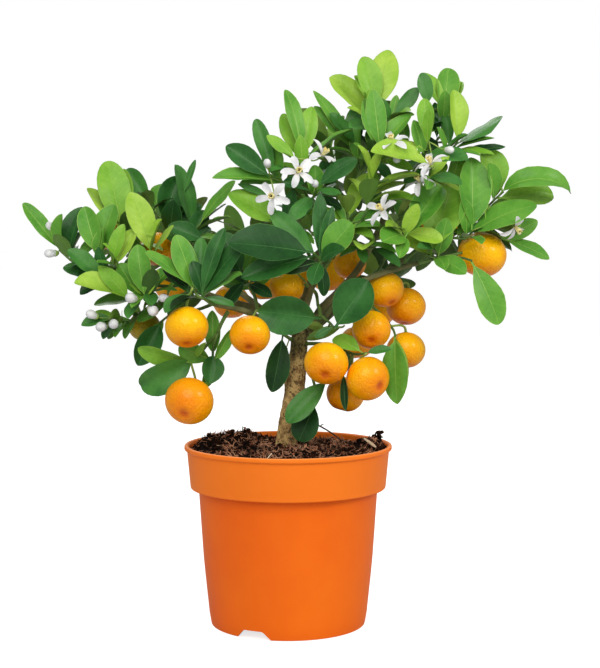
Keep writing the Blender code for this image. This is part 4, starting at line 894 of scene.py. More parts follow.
def grow_set_leaves(crown, mass, shoot, twig, draw):
    """The leaves whose tips are given, some with their arching and share of the usual width too. One whose
    place is taken is tried further back or forward."""
    foot, aim = mm(shoot.foot), Vector(shoot.aim).normalized()
    grown = []
    for i, (x, y, z, *shape) in enumerate(shoot.tips):
        arching, fullness = (*shape, *(ARCH, 1.0)[len(shape):])
        base = leaf_base(twig, i)
        state = draw.getstate()
        for deeper in DEEPER:
            draw.setstate(state)
            leaf = leaf_to(base, foot + mm((x, y + deeper, z)), aim, arching, fullness, draw)
            if crown.takes(mass, leaf):
                grown.append(leaf)
                break
    return grown


def grow_leaves(crown, mass, shoot, twig, draw):
    """A whorl at the shoot's tip that opens towards its foot, then single leaves back along the twig."""
    aim = Vector(shoot.aim).normalized()
    places = []
    for i in range(shoot.leaves):
        share = i / max(1, shoot.leaves - 1)
        point = leaf_base(twig, i + len(shoot.tips))
        opening = OPENING + (shoot.spread - OPENING) * share**0.8 + draw.uniform(-5, 5)
        least, more = WHORL_LENGTHS
        length = shoot.length * (least + more * math.sin(math.pi * share**0.7))
        length *= draw.uniform(*LENGTH_RANGE)
        places.append((point, aim, shoot.turn + i * GOLDEN_ANGLE, opening, length))
    stretch = length_of(twig) / MM
    for i in range(int(stretch / SIDE_LEAF_SPACING) - 1):
        point, along, _ = place_on(twig, 1 - (i + 1.4) * SIDE_LEAF_SPACING / stretch)
        turn = shoot.turn + SIDE_TURN + i * GOLDEN_ANGLE
        opening = SIDE_OPENING + draw.uniform(-8, 8)
        places.append((point, along, turn, opening, shoot.length * SIDE_SHARE))
    grown = []
    for point, along, turn, opening, length in places:
        state = draw.getstate()
        for turned, opened, scale in TRIES:
            draw.setstate(state)
            leaf = leaf_on(point, along, turn + turned, opening + opened, length * scale, draw)
            if crown.takes(mass, leaf):
                grown.append(leaf)
                break
    return grown


def grow_plan():
    """The tree of the solids as limbs and, for each mass, its tubes, leaves, fruit and blossom."""
    trunk = trunk_tube()
    limbs = {"trunk": trunk}
    for bough in BOUGHS:
        limbs[bough.name] = bough_tube(bough, trunk)
    crown = Crown()
    for name, tube in limbs.items():
        crown.add_tube(name, tube)
    grown = {}
    for number, mass in enumerate(MASSES):
        draw = random.Random(SEED * 1000 + number)
        twigs = grow_twigs(mass, limbs[mass.bough], draw)
        stalks = []
        for fruit in mass.fruit:
            top = mm(fruit.centre) + Vector((0, 0, fruit.radius * FRUIT_HEIGHT * STALK_SINK * MM))
            stalks.append(grow_stalk(twigs, top, Vector((0, 0, -1))))
            crown.fruit.append((mass.name, mm(fruit.centre), fruit.radius * MM))
        for blossom in mass.blossom:
            face = Vector(blossom.face).normalized()
            stalks.append(grow_stalk(twigs, mm(blossom.centre), face))
            crown.fruit.append((mass.name, mm(blossom.centre), BLOSSOM_RADIUS * BLOSSOM_SPACE * MM))
        for tube in [*twigs, *stalks]:
            crown.add_tube(mass.name, tube)
        grown[mass.name] = {"mass": mass, "twigs": twigs, "stalks": stalks, "leaves": [], "draw": draw}
    for grow in (grow_set_leaves, grow_leaves):
        for name, made in grown.items():
            ends = made["twigs"][1:] or made["twigs"]
            for shoot, twig in zip(made["mass"].shoots, ends):
                made["leaves"] += grow(crown, name, shoot, twig, made["draw"])
    return limbs, crown, grown


# Finer growth, on the twigs of the solids

EXTRA_CLEAR = 0.05  # kept between thin leaves of different masses
EXTRA_TRIES = 4
EXTRA_LENGTH = (0.6, 0.94)  # of the shoot's leaf length
EXTRA_WIDTH = 0.82
FINER_RADIUS = 0.9
FINER_TIP = 0.6


def grow_extra_leaves(crown, name, shoot, twig, count, draw):
    """More leaves between those of a spray, each a little smaller, back along its twig."""
    aim = Vector(shoot.aim).normalized()
    grown = []
    first = len(shoot.tips) + shoot.leaves
    for i in range(count):
        point = leaf_base(twig, first * 0.5 + i * 0.8)
        for _ in range(EXTRA_TRIES):
            turn = draw.uniform(0, 360)
            opening = draw.uniform(24, shoot.spread + 18)
            length = shoot.length * draw.uniform(*EXTRA_LENGTH)
            leaf = leaf_on(point, aim, turn, opening, length, draw)
            leaf = leaf._replace(width=leaf.width * EXTRA_WIDTH)
            if crown.takes(name, leaf):
                grown.append(leaf)
                break
    return grown


def grow_finer(crown, grown):
    """Carries each mass on to more leaves and finer sprays."""
    crown.clear = EXTRA_CLEAR
    for name, made in grown.items():
        draw = random.Random(SEED + len(name) * 101 + sum(map(ord, name)))
        ends = made["twigs"][1:] or made["twigs"]
        made["sprays"] = [[] for _ in ends]
        for leaf in made["leaves"]:
            nearest = min(range(len(ends)), key=lambda i: (ends[i].points[-1] - leaf.base).length)
            made["sprays"][nearest].append(leaf)
        made["shades"] = [spray[0] for spray in SPRAYS[name]]
        for i, (shoot, twig) in enumerate(zip(made["mass"].shoots, ends)):
            _, count, *narrow = SPRAYS[name][i]
            spray = made["sprays"][i] + grow_extra_leaves(crown, name, shoot, twig, count, draw)
            made["sprays"][i] = [leaf._replace(width=leaf.width * sum(narrow or [1])) for leaf in spray]
        for shade, start, face, tip in SINGLE_LEAVES.get(name, ()):
            shoot = Shoot(start, face, 0, 0, 0, 0, (tip,))
            foot, aim = mm(start), Vector(face).normalized()
            points = [p for twig in made["twigs"] for p in twig.points[1:]]
            root = min(points, key=lambda p: (p - foot + aim * 12 * MM).length)
            leaving = (foot - root).normalized()
            twig = tapered(arch(root, leaving, foot, aim, TWIG_STEPS), FINER_RADIUS, FINER_TIP)
            made["twigs"].append(twig)
            made["sprays"].append(grow_set_leaves(crown, name, shoot, twig, draw))
            made["shades"].append(shade)


# Meshes


class Sheet:
    """Vertices and faces gathered for one joined piece. places says where each vertex lies on its own leaf or
    fruit, from 0 to 1 across and along it."""

    def __init__(self):
        self.verts = []
        self.faces = []
        self.places = []

    def add(self, verts, faces, places=()):
        start = len(self.verts)
        self.verts.extend(verts)
        self.faces.extend(tuple(start + i for i in face) for face in faces)
        self.places.extend(places)


def grid_faces(rows, columns, wrap=False):
    faces = []
    for row in range(rows - 1):
        for column in range(columns if wrap else columns - 1):
            a = row * columns + column
            b = row * columns + (column + 1) % columns
            faces.append((a, b, b + columns, a + columns))
    return faces


def link_piece(name, mesh, finish, nodes):
    mesh.materials.clear()
    mesh.materials.append(finish)
    mesh.shade_smooth()
    made = bpy.data.objects.new(name, mesh)
    bpy.context.scene.collection.objects.link(made)
    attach(made, "root")
    if nodes:
        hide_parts(*nodes)
    return made


def piece(name, sheet, finish, nodes=(), sharp=None):
    """One joined piece of the gathered faces, in place of those nodes of the frame."""
    mesh = bpy.data.meshes.new(name)
    mesh.from_pydata(sheet.verts, [], sheet.faces)
    if sheet.places:
        corners = [0] * len(mesh.loops)
        mesh.loops.foreach_get("vertex_index", corners)
        layer = mesh.uv_layers.new(name="place")
        layer.data.foreach_set("uv", [share for corner in corners for share in sheet.places[corner]])
    made = link_piece(name, mesh, finish, nodes)
    if sharp:
        mesh.set_sharp_from_angle(angle=math.radians(sharp))
    return made


def add_tube(sheet, tube, sides, relief=None):
    """A round tube, closed at both ends. relief gives its radius there as a share of the even one."""
    verts = []
    across = (tube.points[1] - tube.points[0]).orthogonal().normalized()
    last = len(tube.points) - 1
    for i, (point, radius) in enumerate(zip(tube.points, tube.radii)):
        along = (tube.points[min(i + 1, last)] - tube.points[max(i - 1, 0)]).normalized()
        across = (across - along * across.dot(along)).normalized()
        other = along.cross(across)
        for side in range(sides):
            angle = 2 * math.pi * side / sides
            outward = across * math.cos(angle) + other * math.sin(angle)
            share = relief(point, outward, i / last) if relief else 1.0
            verts.append(point + outward * radius * share)
    faces = grid_faces(last + 1, sides, wrap=True)
    faces.append(tuple(reversed(range(sides))))
    faces.append(tuple(last * sides + i for i in range(sides)))
    sheet.add(verts, faces)


def finer(tube, steps):
    """The same tube with more points, its radius eased between the old ones."""
    radii = []
    for a, b in zip(tube.radii, tube.radii[1:]):
        radii += [a + (b - a) * i / steps for i in range(steps)]
    return Tube(smooth(tube.points, steps), [*radii, tube.radii[-1]])


def filleted(corners, steps):
    """A section's corners, each given as radius, height and fillet, rounded off by arcs."""
    points = []
    for i, (radius, height, fillet) in enumerate(corners):
        here = Vector((radius, height))
        if not fillet:
            points.append(here)
            continue
        before = Vector(corners[i - 1][:2]) - here
        after = Vector(corners[i + 1][:2]) - here
        reach = min(fillet, before.length * 0.48, after.length * 0.48)
        start, end = here + before.normalized() * reach, here + after.normalized() * reach
        for step in range(steps + 1):
            t = step / steps
            points.append(start * (1 - t) ** 2 + here * (2 * t * (1 - t)) + end * t**2)
    return points


def turned_mesh(name, points, steps):
    """The mesh of a section in millimetres turned round the z axis."""
    bm = bmesh.new()
    verts = [bm.verts.new((p.x * MM, 0, p.y * MM)) for p in points]
    for a, b in zip(verts, verts[1:]):
        bm.edges.new((a, b))
    bmesh.ops.spin(
        bm, geom=bm.verts[:] + bm.edges[:], cent=(0, 0, 0), axis=(0, 0, 1), angle=2 * math.pi,
        steps=steps, use_merge=True,
    )
    bmesh.ops.remove_doubles(bm, verts=bm.verts, dist=0.000001)
    bmesh.ops.recalc_face_normals(bm, faces=bm.faces)
    mesh = bpy.data.meshes.new(name)
    bm.to_mesh(mesh)
    bm.free()
    return mesh


# Leaves

LEAF_STATIONS = (0.0, 0.05, 0.1, 0.15, 0.22, 0.32, 0.43, 0.54, 0.65, 0.75, 0.84, 0.91, 0.955, 0.985, 1.0)
LEAF_COLUMNS = (-1.0, -0.7, -0.36, 0.0, 0.36, 0.7, 1.0)
PETIOLE = 0.1  # share of a leaf's length that is its stalk
PETIOLE_HALF = 0.075  # its half width, as a share of the blade's
RIB_COLUMNS = ((-0.3, 0.02), (0.0, 0.2), (0.3, 0.02))  # across and lift, in millimetres
RIB_TAPER = 0.75
# Pale rim strips along each leaf's edge, in the ribs' colours: a painted sheen
RIM_WIDTH = 0.3
RIM_LIFT = 0.04
FOLD = (12.0, 40.0)  # degrees each half is folded up
WAVES = (9.0, 16.0)
CURL = (-0.2, 0.4)
SWEEP = 0.035  # sideways bend as a share of the length
RIPPLE = 0.016
WIDENING = (0.68, 0.95)  # how gently a blade widens from its stalk
NARROWING = (0.6, 0.78)  # and how bluntly it ends
WIDTH_SHARE = (0.76, 0.98)


def blade_half(t, widening, narrowing):
    """Half the blade's width at t, as a share of its greatest half width."""
    if t < PETIOLE:
        return PETIOLE_HALF
    u = (t - PETIOLE) / (1 - PETIOLE)
    widest = widening / (widening + narrowing)
    share = (u / widest) ** widening * (max(0.0, 1 - u) / (1 - widest)) ** narrowing
    return max(PETIOLE_HALF * (1 - u), share)


def add_leaf(blades, veins, leaf, draw):
    """A folded blade on its stalk, cupped and swept a little sideways, with slow waves along its edge, its
    raised midrib and its pale rim, a painted sheen along the edge."""
    fold = math.radians(draw.uniform(*FOLD))
    wave, waves = draw.uniform(0, 2 * math.pi), draw.uniform(*WAVES)
    curl, sweep = draw.uniform(*CURL), draw.gauss(0, SWEEP)
    outline = draw.uniform(*WIDENING), draw.uniform(*NARROWING)
    width = leaf.width * draw.uniform(*WIDTH_SHARE)

    def at(t, out, lift):
        """The point t along the blade and out across it in metres, lift above it."""
        share = blade_half(t, *outline)
        off = abs(out)
        side = math.sin(t * waves + wave + (out > 0)) * (off * 2 / width) ** 2 * share
        bent = off * math.sin(fold) - curl * off * off / width * 2 + leaf.length * RIPPLE * side
        return leaf_point(leaf, t, out + sweep * leaf.length * t * t, bent + lift)

    verts = []
    for t in LEAF_STATIONS:
        half = width / 2 * blade_half(t, *outline)
        verts += [at(t, across * half, 0) for across in LEAF_COLUMNS]
    places = [(0.5 + across / 2, t) for t in LEAF_STATIONS for across in LEAF_COLUMNS]
    blades.add(verts, grid_faces(len(LEAF_STATIONS), len(LEAF_COLUMNS)), places)
    verts = []
    for t in LEAF_STATIONS:
        narrow = (1 - RIB_TAPER * t) * MM
        verts += [at(t, across * narrow, lift * narrow) for across, lift in RIB_COLUMNS]
    veins.add(verts, grid_faces(len(LEAF_STATIONS), len(RIB_COLUMNS)))
    for side in (-1, 1):
        verts = []
        for t in LEAF_STATIONS[2:]:
            edge = width / 2 * blade_half(t, *outline)
            inner = max(0.0, edge - RIM_WIDTH * MM)
            row = [at(t, side * inner, RIM_LIFT * MM), at(t, side * edge, RIM_LIFT * MM)]
            verts += row if side > 0 else reversed(row)
        veins.add(verts, grid_faces(len(LEAF_STATIONS) - 2, 2))


def tone_of(leaf, shade, draw):
    """Which green a leaf has: its spray's shade, paler where it stands up and darker where it hangs, partly its own
    tone and partly painted light and shade.
    """
    tone = shade - TONE_RISE * leaf.along.z + draw.gauss(0, TONE_SPREAD)
    return min(len(GREENS) - 1, max(0, round(tone)))


# Fruit, blossom and buds

FRUIT_RINGS = 26
FRUIT_SIDES = 36
SHOULDER = 0.06  # depth of the hollow round the stalk, as a share of the radius
DIMPLE = 0.12
DIMPLE_SPAN = 0.24
CALYX_RADIUS = 2.7
CALYX_INNER = 1.5
SEPALS = 5


def fruit_turn(way, draw):
    """The turn that brings a fruit's dimple from straight down to its way."""
    tilted = Vector(way).normalized() if way else Vector((draw.uniform(-0.3, 0.3), draw.uniform(-0.4, 0.1), -1))
    return Vector((0, 0, -1)).rotation_difference(tilted)


def fruit_surface(polar, angle):
    """A point of a fruit of radius 1 that hangs straight, polar being the angle from its stalk."""
    out = math.sin(polar)
    lobes = 1 + 0.008 * math.cos(10 * angle) * math.exp(-(((math.pi - polar) / 0.5) ** 2))
    height = math.cos(polar) * FRUIT_HEIGHT
    height += DIMPLE * math.exp(-(((math.pi - polar) / DIMPLE_SPAN) ** 2))
    height -= SHOULDER * math.exp(-((polar / 0.26) ** 2))
    return Vector((math.cos(angle) * out * lobes, math.sin(angle) * out * lobes, height))


def add_fruit(peel, calyxes, fruit, turn, draw):
    """A flattened ball with its dimple and shoulder, and the star of sepals under its stalk."""
    centre, radius = mm(fruit.centre), fruit.radius * MM
    swell = [draw.uniform(-0.012, 0.012) for _ in range(4)]
    verts = []
    for ring in range(FRUIT_RINGS + 1):
        polar = math.pi * ring / FRUIT_RINGS
        for side in range(FRUIT_SIDES):
            angle = 2 * math.pi * side / FRUIT_SIDES
            point = fruit_surface(polar, angle) * radius
            uneven = swell[0] * math.cos(angle) + swell[1] * math.sin(angle) + swell[2] * math.cos(2 * angle)
            point *= 1 + (uneven + swell[3]) * math.sin(polar)
            point.rotate(turn)
            verts.append(centre + point)
    places = [
        (abs(2 * side / FRUIT_SIDES - 1), ring / FRUIT_RINGS)
        for ring in range(FRUIT_RINGS + 1) for side in range(FRUIT_SIDES)
    ]
    faces = [tuple(reversed(face)) for face in grid_faces(FRUIT_RINGS + 1, FRUIT_SIDES, wrap=True)]
    peel.add(verts, faces, places)
    verts = []
    for reach, lift in ((0.0, 1.3), (0.45, 1.2), (1.0, 0.35)):
        for side in range(2 * SEPALS):
            angle = math.pi * side / SEPALS
            out = reach * (CALYX_INNER if side % 2 else CALYX_RADIUS) / fruit.radius
            point = fruit_surface(math.asin(min(1.0, out)), angle) * radius
            point.z += lift * MM
            point.rotate(turn)
            verts.append(centre + point)
    calyxes.add(verts, grid_faces(3, 2 * SEPALS, wrap=True))
    top = Vector((0, 0, (FRUIT_HEIGHT - SHOULDER) * radius + 0.9 * MM))
    top.rotate(turn)
    return centre + top


PETAL_STATIONS = ((0.0, 0.34), (0.12, 0.5), (0.3, 0.82), (0.5, 1.0), (0.7, 0.98), (0.86, 0.74), (0.96, 0.36), (1.0, 0.08))
PETAL_COLUMNS = (-1.0, -0.5, 0.0, 0.5, 1.0)
PETAL_WIDTH = 5.0
STAMENS = 16
STAMEN_HEIGHT = 5.0


def add_flower(petals, stamens, cups, blossom, draw):
    """Five long petals, bent back, round a tube of yellowish stamens with swollen tips, on a small green cup."""
    centre, face = mm(blossom.centre), Vector(blossom.face).normalized()
    across = face.orthogonal().normalized()
    other = face.cross(across)
    spin = draw.uniform(0, 2 * math.pi)
    for petal in range(PETALS):
        angle = spin + 2 * math.pi * petal / PETALS + draw.uniform(-0.14, 0.14)
        outward = across * math.cos(angle) + other * math.sin(angle)
        rise = math.radians(draw.uniform(18, 46))
        along = outward * math.cos(rise) + face * math.sin(rise)
        up = face * math.cos(rise) - outward * math.sin(rise)
        long = BLOSSOM_RADIUS * draw.uniform(0.96, 1.1) * MM
        blade = Leaf(centre + outward * 0.9 * MM, along, up, long, PETAL_WIDTH * MM, math.radians(draw.uniform(40, 85)))
        verts = []
        for t, width in PETAL_STATIONS:
            half = width * blade.width / 2
            for side in PETAL_COLUMNS:
                verts.append(leaf_point(blade, t, side * half, 0.9 * MM * side * side * width))
        petals.add(verts, grid_faces(len(PETAL_STATIONS), len(PETAL_COLUMNS)))
    for stamen in range(STAMENS):
        angle = 2 * math.pi * stamen / STAMENS
        out = (across * math.cos(angle) + other * math.sin(angle)) * MM
        height = STAMEN_HEIGHT * draw.uniform(0.85, 1.1) * MM
        top = centre + out * draw.uniform(1.2, 2.0) + face * height
        points = [centre + out * 0.7, centre + out * 1.1 + face * height * 0.6, top, top + face * 0.7 * MM, top + face * 1.3 * MM]
        add_tube(stamens, Tube(points, [0.35 * MM, 0.25 * MM, 0.3 * MM, 0.62 * MM, 0.25 * MM]), 5)
    cup = [centre - face * 2.6 * MM, centre - face * 1.4 * MM, centre + face * 0.1 * MM]
    add_tube(cups, Tube(cup, [0.5 * MM, 1.7 * MM, 2.0 * MM]), 8)


BUD_SHAPE = ((-4.2, 0.6), (-3.4, 1.5), (-1.8, 2.2), (0.0, 2.7), (1.8, 2.9), (3.4, 2.3), (4.4, 1.2), (4.8, 0.4))


def add_bud(petals, cups, centre, along, size, draw):
    """A closed white bud that sits in its green cup."""
    size *= draw.uniform(0.86, 1.12) * MM
    points = [centre + along * z * size for z, _ in BUD_SHAPE]
    add_tube(petals, finer(Tube(points, [radius * size for _, radius in BUD_SHAPE]), 2), 12)
    cup = [centre - along * 5.0 * size, centre - along * 4.0 * size, centre - along * 2.4 * size]
    add_tube(cups, Tube(cup, [0.6 * size, 1.7 * size, 2.35 * size]), 10)


# Pot

POT_TURN_STEPS = 168
LIP_HIGHLIGHT_BAND = 0.8  # height of the top of the lip that is painted paler, a painted highlight
FILLET_STEPS = 4


def pot_corners():
    """The pot's section: up its inner side, over the lip and down its outer side to the foot."""
    collar_foot = POT_HEIGHT - COLLAR_HEIGHT
    middle_radius, middle_height = WALL_MIDDLE
    return (
        (0, WALL, 0),
        (HUB_RADIUS - WALL, WALL, 1),
        (HUB_RADIUS + 3, FLOOR_HEIGHT + WALL, 1),
        (WALL_FOOT_RADIUS - WALL, FLOOR_HEIGHT + WALL, 2),
        (middle_radius - WALL, middle_height, 8),
        (WALL_TOP_RADIUS - WALL, collar_foot + WALL, 1),
        (COLLAR_FOOT_RADIUS - WALL, collar_foot + WALL, 1),
        (COLLAR_RADIUS - WALL, POT_HEIGHT - LIP_ROLL, 1),
        (COLLAR_RADIUS - 0.4, POT_HEIGHT, 1),
        (LIP_RADIUS, POT_HEIGHT, LIP_ROLL),
        (LIP_RADIUS, POT_HEIGHT - 2 * LIP_ROLL, LIP_ROLL),
        (COLLAR_RADIUS + 0.1, POT_HEIGHT - 2 * LIP_ROLL - 0.5, 0.8),
        (COLLAR_FOOT_RADIUS, collar_foot, 1.1),
        (WALL_TOP_RADIUS, collar_foot + 0.4, 0.9),
        (middle_radius, middle_height, 10),
        (WALL_FOOT_RADIUS, FOOT_HEIGHT + 2.4, 3.0),
        (FOOT_RADIUS, 0, 0.5),
        (FOOT_RADIUS - WALL, 0, 0.4),
        (FOOT_RADIUS - WALL, FLOOR_HEIGHT, 0.6),
        (HUB_RADIUS + 4, FLOOR_HEIGHT, 1),
        (HUB_RADIUS, 0, 0.6),
        (0, 0, 0),
    )


def notch_cutter(angle):
    """A wedge that narrows upwards, across the foot ring at angle degrees from -Y, with rounded top corners."""
    bm = bmesh.new()
    bmesh.ops.create_cube(bm, size=1)
    for vert in bm.verts:
        width = NOTCH_WIDTH * (NOTCH_SLOPE if vert.co.z > 0 else 1)
        height = NOTCH_HEIGHT if vert.co.z > 0 else -2
        vert.co = (vert.co.x * width * MM, (vert.co.y * NOTCH_DEPTH - FOOT_RADIUS + 1) * MM, height * MM)
    top = [e for e in bm.edges if all(v.co.z > 0 for v in e.verts) and abs(e.verts[0].co.x - e.verts[1].co.x) < MM]
    bmesh.ops.bevel(bm, geom=top, offset=1.6 * MM, segments=4, affect="EDGES", profile=0.5)
    bmesh.ops.rotate(bm, verts=bm.verts, cent=(0, 0, 0), matrix=Matrix.Rotation(math.radians(angle), 3, "Z"))
    return bm


def drain_cutter(angle):
    bm = bmesh.new()
    radius, reach = DRAIN_RADIUS * MM, DRAIN_CIRCLE * MM
    place = Matrix.Translation((reach * math.cos(angle), reach * math.sin(angle), (FLOOR_HEIGHT + WALL / 2) * MM))
    bmesh.ops.create_cone(
        bm, segments=24, radius1=radius, radius2=radius, depth=8 * MM, cap_ends=True, matrix=place
    )
    return bm


def cut(mesh, cutters):
    """The mesh with the cutters' shapes taken out of it."""
    body = bpy.data.objects.new("cut_body", mesh)
    tool_mesh = bpy.data.meshes.new("cutter")
    joined = bmesh.new()
    for bm in cutters:
        bm.to_mesh(tool_mesh)
        bm.free()
        joined.from_mesh(tool_mesh)
    joined.to_mesh(tool_mesh)
    joined.free()
    tool = bpy.data.objects.new("cutter", tool_mesh)
    for obj in (body, tool):
        bpy.context.scene.collection.objects.link(obj)
    bite = body.modifiers.new("cut", "BOOLEAN")
    bite.operation = "DIFFERENCE"
    bite.object = tool
    bite.solver = "EXACT"
    result = bpy.data.meshes.new_from_object(body.evaluated_get(bpy.context.evaluated_depsgraph_get()))
    for obj in (body, tool):
        bpy.data.objects.remove(obj)
    return result


def build_pot(finish):
    mesh = turned_mesh("pot_shell", filleted(pot_corners(), FILLET_STEPS), POT_TURN_STEPS)
    cutters = [notch_cutter(angle) for angle in NOTCH_AT]
    cutters += [drain_cutter(2 * math.pi * (i + 0.5) / DRAINS) for i in range(DRAINS)]
    made = link_piece("pot_shell", cut(mesh, cutters), finish, ["pot"])
    made.data.set_sharp_from_angle(angle=math.radians(32))


# Soil

BED_RINGS = 58
BED_SIDES = 150
DARK_CRUMBS = 3000
PALE_CRUMBS = 240
CHIPS = 300
FIBRES = 1900
SPLINTERS = 26
LUMP = 3.2  # height of the bed's own unevenness
CLUMP = (65.0, 8.0, 133.6)  # a few crumbs heaped against the rim
CLUMP_CRUMBS = 16
# Pale splinters that stand out: middle, way and length
BIG_SPLINTERS = (
    ((-13.6, -62.0, 128.6), (0.62, 0.2, 0.75), 9.0),
    ((59.0, -6.0, 131.6), (0.72, -0.45, -0.5), 11.5),
)
# A dry twig that leans from the trunk to the soil
DRY_TWIG = ((6.0, 6.0, 150.5), (16.0, 11.0, 145.0), (24.0, 15.0, 140.6), (33.0, 20.0, 134.5), (43.0, 25.0, 126.0))
DRY_NUB = ((23.4, 14.6, 140.8), (24.6, 14.4, 142.2), (26.0, 14.4, 142.6))


def soil_height(x, y):
    """Height of the soil's surface in millimetres at x, y from the pot's axis."""
    from_trunk = math.hypot(x - TRUNK[0][0], y)
    edge = min(1.0, math.hypot(x, y) / COLLAR_FOOT_RADIUS)
    height = SEAT_HEIGHT + (SOIL_EDGE - SEAT_HEIGHT) * edge**2
    height += SOIL_WAVE * math.sin(x * SOIL_WAVE_ACROSS + 1.0) * math.cos(y * SOIL_WAVE_DEEP + 0.4)
    for heap_x, heap_y, radius, rise in HEAPS:
        height += rise * math.exp(-(((x - heap_x) / radius) ** 2 + ((y - heap_y) / radius) ** 2))
    share = min(1.0, max(0.0, (from_trunk - SEAT_RADIUS) / SEAT_BLEND))
    return SEAT_HEIGHT + (height - SEAT_HEIGHT) * share


def bed_height(x, y):
    """The soil's height with its lumps."""
    rough = noise.fractal(Vector((x, y, 3.0)) * 0.16, 0.7, 2.1, 4)
    fine = noise.noise(Vector((x, y, 9.0)) * 0.8)
    return soil_height(x, y) + rough * LUMP * 0.5 + fine * 0.5


def add_crumb(sheet, centre, size, flat, draw):
    """A small jagged lump."""
    bm = bmesh.new()
    bmesh.ops.create_icosphere(bm, subdivisions=1, radius=1)
    stretch = Vector((draw.uniform(0.6, 1.5), draw.uniform(0.6, 1.2), draw.uniform(0.5, 1.0) * flat))
    turn = Quaternion(Vector([draw.uniform(-1, 1) for _ in range(3)]).normalized(), draw.uniform(0, 3.1))
    verts = []
    for vert in bm.verts:
        point = vert.co * draw.uniform(0.66, 1.2) * stretch * size
        point.rotate(turn)
        verts.append(centre + point)
    sheet.add(verts, [[v.index for v in face.verts] for face in bm.faces])
    bm.free()


def add_fibre(sheet, centre, length, radius, draw):
    """A thin root or fibre that curls one way."""
    way = Vector((draw.gauss(0, 1), draw.gauss(0, 1), draw.gauss(0, 0.5))).normalized()
    axis = Vector((draw.gauss(0, 1), draw.gauss(0, 1), draw.gauss(0, 1.5)))
    turn = Quaternion(axis, math.radians(draw.uniform(8, 42)))
    points = [centre - way * length / 3]
    for _ in range(4):
        points.append(points[-1] + way * length / 4)
        way.rotate(turn)
    add_tube(sheet, Tube(points, [radius * s for s in (0.5, 1.0, 1.0, 0.8, 0.4)]), 5)


def add_chip(sheet, centre, way, length, width, thick, draw):
    """A flat split chip, narrower at one end."""
    along = Vector(way).normalized()
    across = along.cross(Vector((draw.uniform(-0.4, 0.4), draw.uniform(-0.4, 0.4), 1))).normalized()
    up = across.cross(along)
    verts = []
    for t, share in ((-0.5, 0.55), (-0.1, 1.0), (0.3, 0.9), (0.5, 0.35)):
        for side, lift in ((-1, -1), (1, -1), (1, 1), (-1, 1)):
            edge = side * width / 2 * share * draw.uniform(0.8, 1.1)
            verts.append(centre + along * t * length + across * edge + up * lift * thick / 2)
    faces = grid_faces(4, 4, wrap=True)
    sheet.add(verts, [*faces, (3, 2, 1, 0), (12, 13, 14, 15)])


def soil_spot(draw, inset):
    """A place on the soil's surface in metres, inset millimetres from the pot's wall, clear of the trunk."""
    while True:
        reach = (COLLAR_RADIUS - WALL - inset) * math.sqrt(draw.random())
        angle = draw.uniform(0, 2 * math.pi)
        x, y = reach * math.cos(angle), reach * math.sin(angle)
        if math.hypot(x - TRUNK[0][0], y) > TRUNK[0][3] + 1:
            return mm((x, y, bed_height(x, y)))


def soil_bed():
    sheet = Sheet()
    edge = COLLAR_RADIUS - WALL - 0.3
    verts = []
    for ring in range(BED_RINGS + 1):
        reach = edge * ring / BED_RINGS
        for side in range(BED_SIDES):
            angle = 2 * math.pi * side / BED_SIDES
            x, y = reach * math.cos(angle), reach * math.sin(angle)
            verts.append(mm((x, y, bed_height(x, y))))
    for side in range(BED_SIDES):
        angle = 2 * math.pi * side / BED_SIDES
        reach = edge - 1.2
        verts.append(mm((reach * math.cos(angle), reach * math.sin(angle), SOIL_EDGE - 9)))
    sheet.add(verts, grid_faces(BED_RINGS + 2, BED_SIDES, wrap=True))
    return sheet


def build_soil(finishes):
    draw = random.Random(SEED)
    crumbs, pale_crumbs, fibres, chips, splinters = Sheet(), Sheet(), Sheet(), Sheet(), Sheet()
    for sheet, count in ((crumbs, DARK_CRUMBS), (pale_crumbs, PALE_CRUMBS)):
        for _ in range(count):
            size = draw.uniform(0.5, 1.1) if draw.random() < 0.7 else draw.uniform(1.1, 2.2)
            place = soil_spot(draw, size)
            add_crumb(sheet, place + Vector((0, 0, size * 0.25 * MM)), size * MM, 1.0, draw)
    for _ in range(CLUMP_CRUMBS):
        place = mm(CLUMP) + Vector([draw.gauss(0, 1.5) * MM for _ in range(3)])
        add_crumb(crumbs, place, draw.uniform(1.2, 2.2) * MM, 1.0, draw)
    for _ in range(FIBRES):
        place = soil_spot(draw, 4) + Vector((0, 0, draw.uniform(0.2, 1.8) * MM))
        add_fibre(fibres, place, draw.uniform(3, 8.5) * MM, draw.uniform(0.16, 0.4) * MM, draw)
    for _ in range(CHIPS):
        place = soil_spot(draw, 3.5) + Vector((0, 0, 0.8 * MM))
        way = (draw.gauss(0, 1), draw.gauss(0, 1), draw.gauss(0, 0.35))
        add_chip(chips, place, way, draw.uniform(2.5, 6) * MM, draw.uniform(0.9, 2.2) * MM, 0.5 * MM, draw)
    for _ in range(SPLINTERS):
        place = soil_spot(draw, 4) + Vector((0, 0, 1.0 * MM))
        way = (draw.gauss(0, 1), draw.gauss(0, 1), draw.gauss(0, 0.3))
        add_chip(splinters, place, way, draw.uniform(2.2, 4.5) * MM, 0.7 * MM, 0.35 * MM, draw)
    for centre, way, length in BIG_SPLINTERS:
        add_chip(splinters, mm(centre), way, length * MM, 2.9 * MM, 0.6 * MM, draw)
    dry = Sheet()
    add_tube(dry, finer(tapered([mm(p) for p in DRY_TWIG], 0.75, 0.5), 4), 7)
    add_tube(dry, tapered([mm(p) for p in DRY_NUB], 0.5, 0.25), 6)
    piece("soil_bed", soil_bed(), finishes["soil"], ["soil"])
    piece("soil_crumbs", crumbs, finishes["crumb"], ["soil"], sharp=30)
    piece("soil_pale_crumbs", pale_crumbs, finishes["pale_crumb"], ["soil"], sharp=30)
    piece("soil_fibres", fibres, finishes["fibre"], ["soil"])
    piece("soil_chips", chips, finishes["chip"], ["soil"], sharp=30)
    piece("soil_splinters", splinters, finishes["splinter"], ["soil"], sharp=30)
    piece("dry_twig", dry, finishes["dry"], ["trunk"])


# Wood

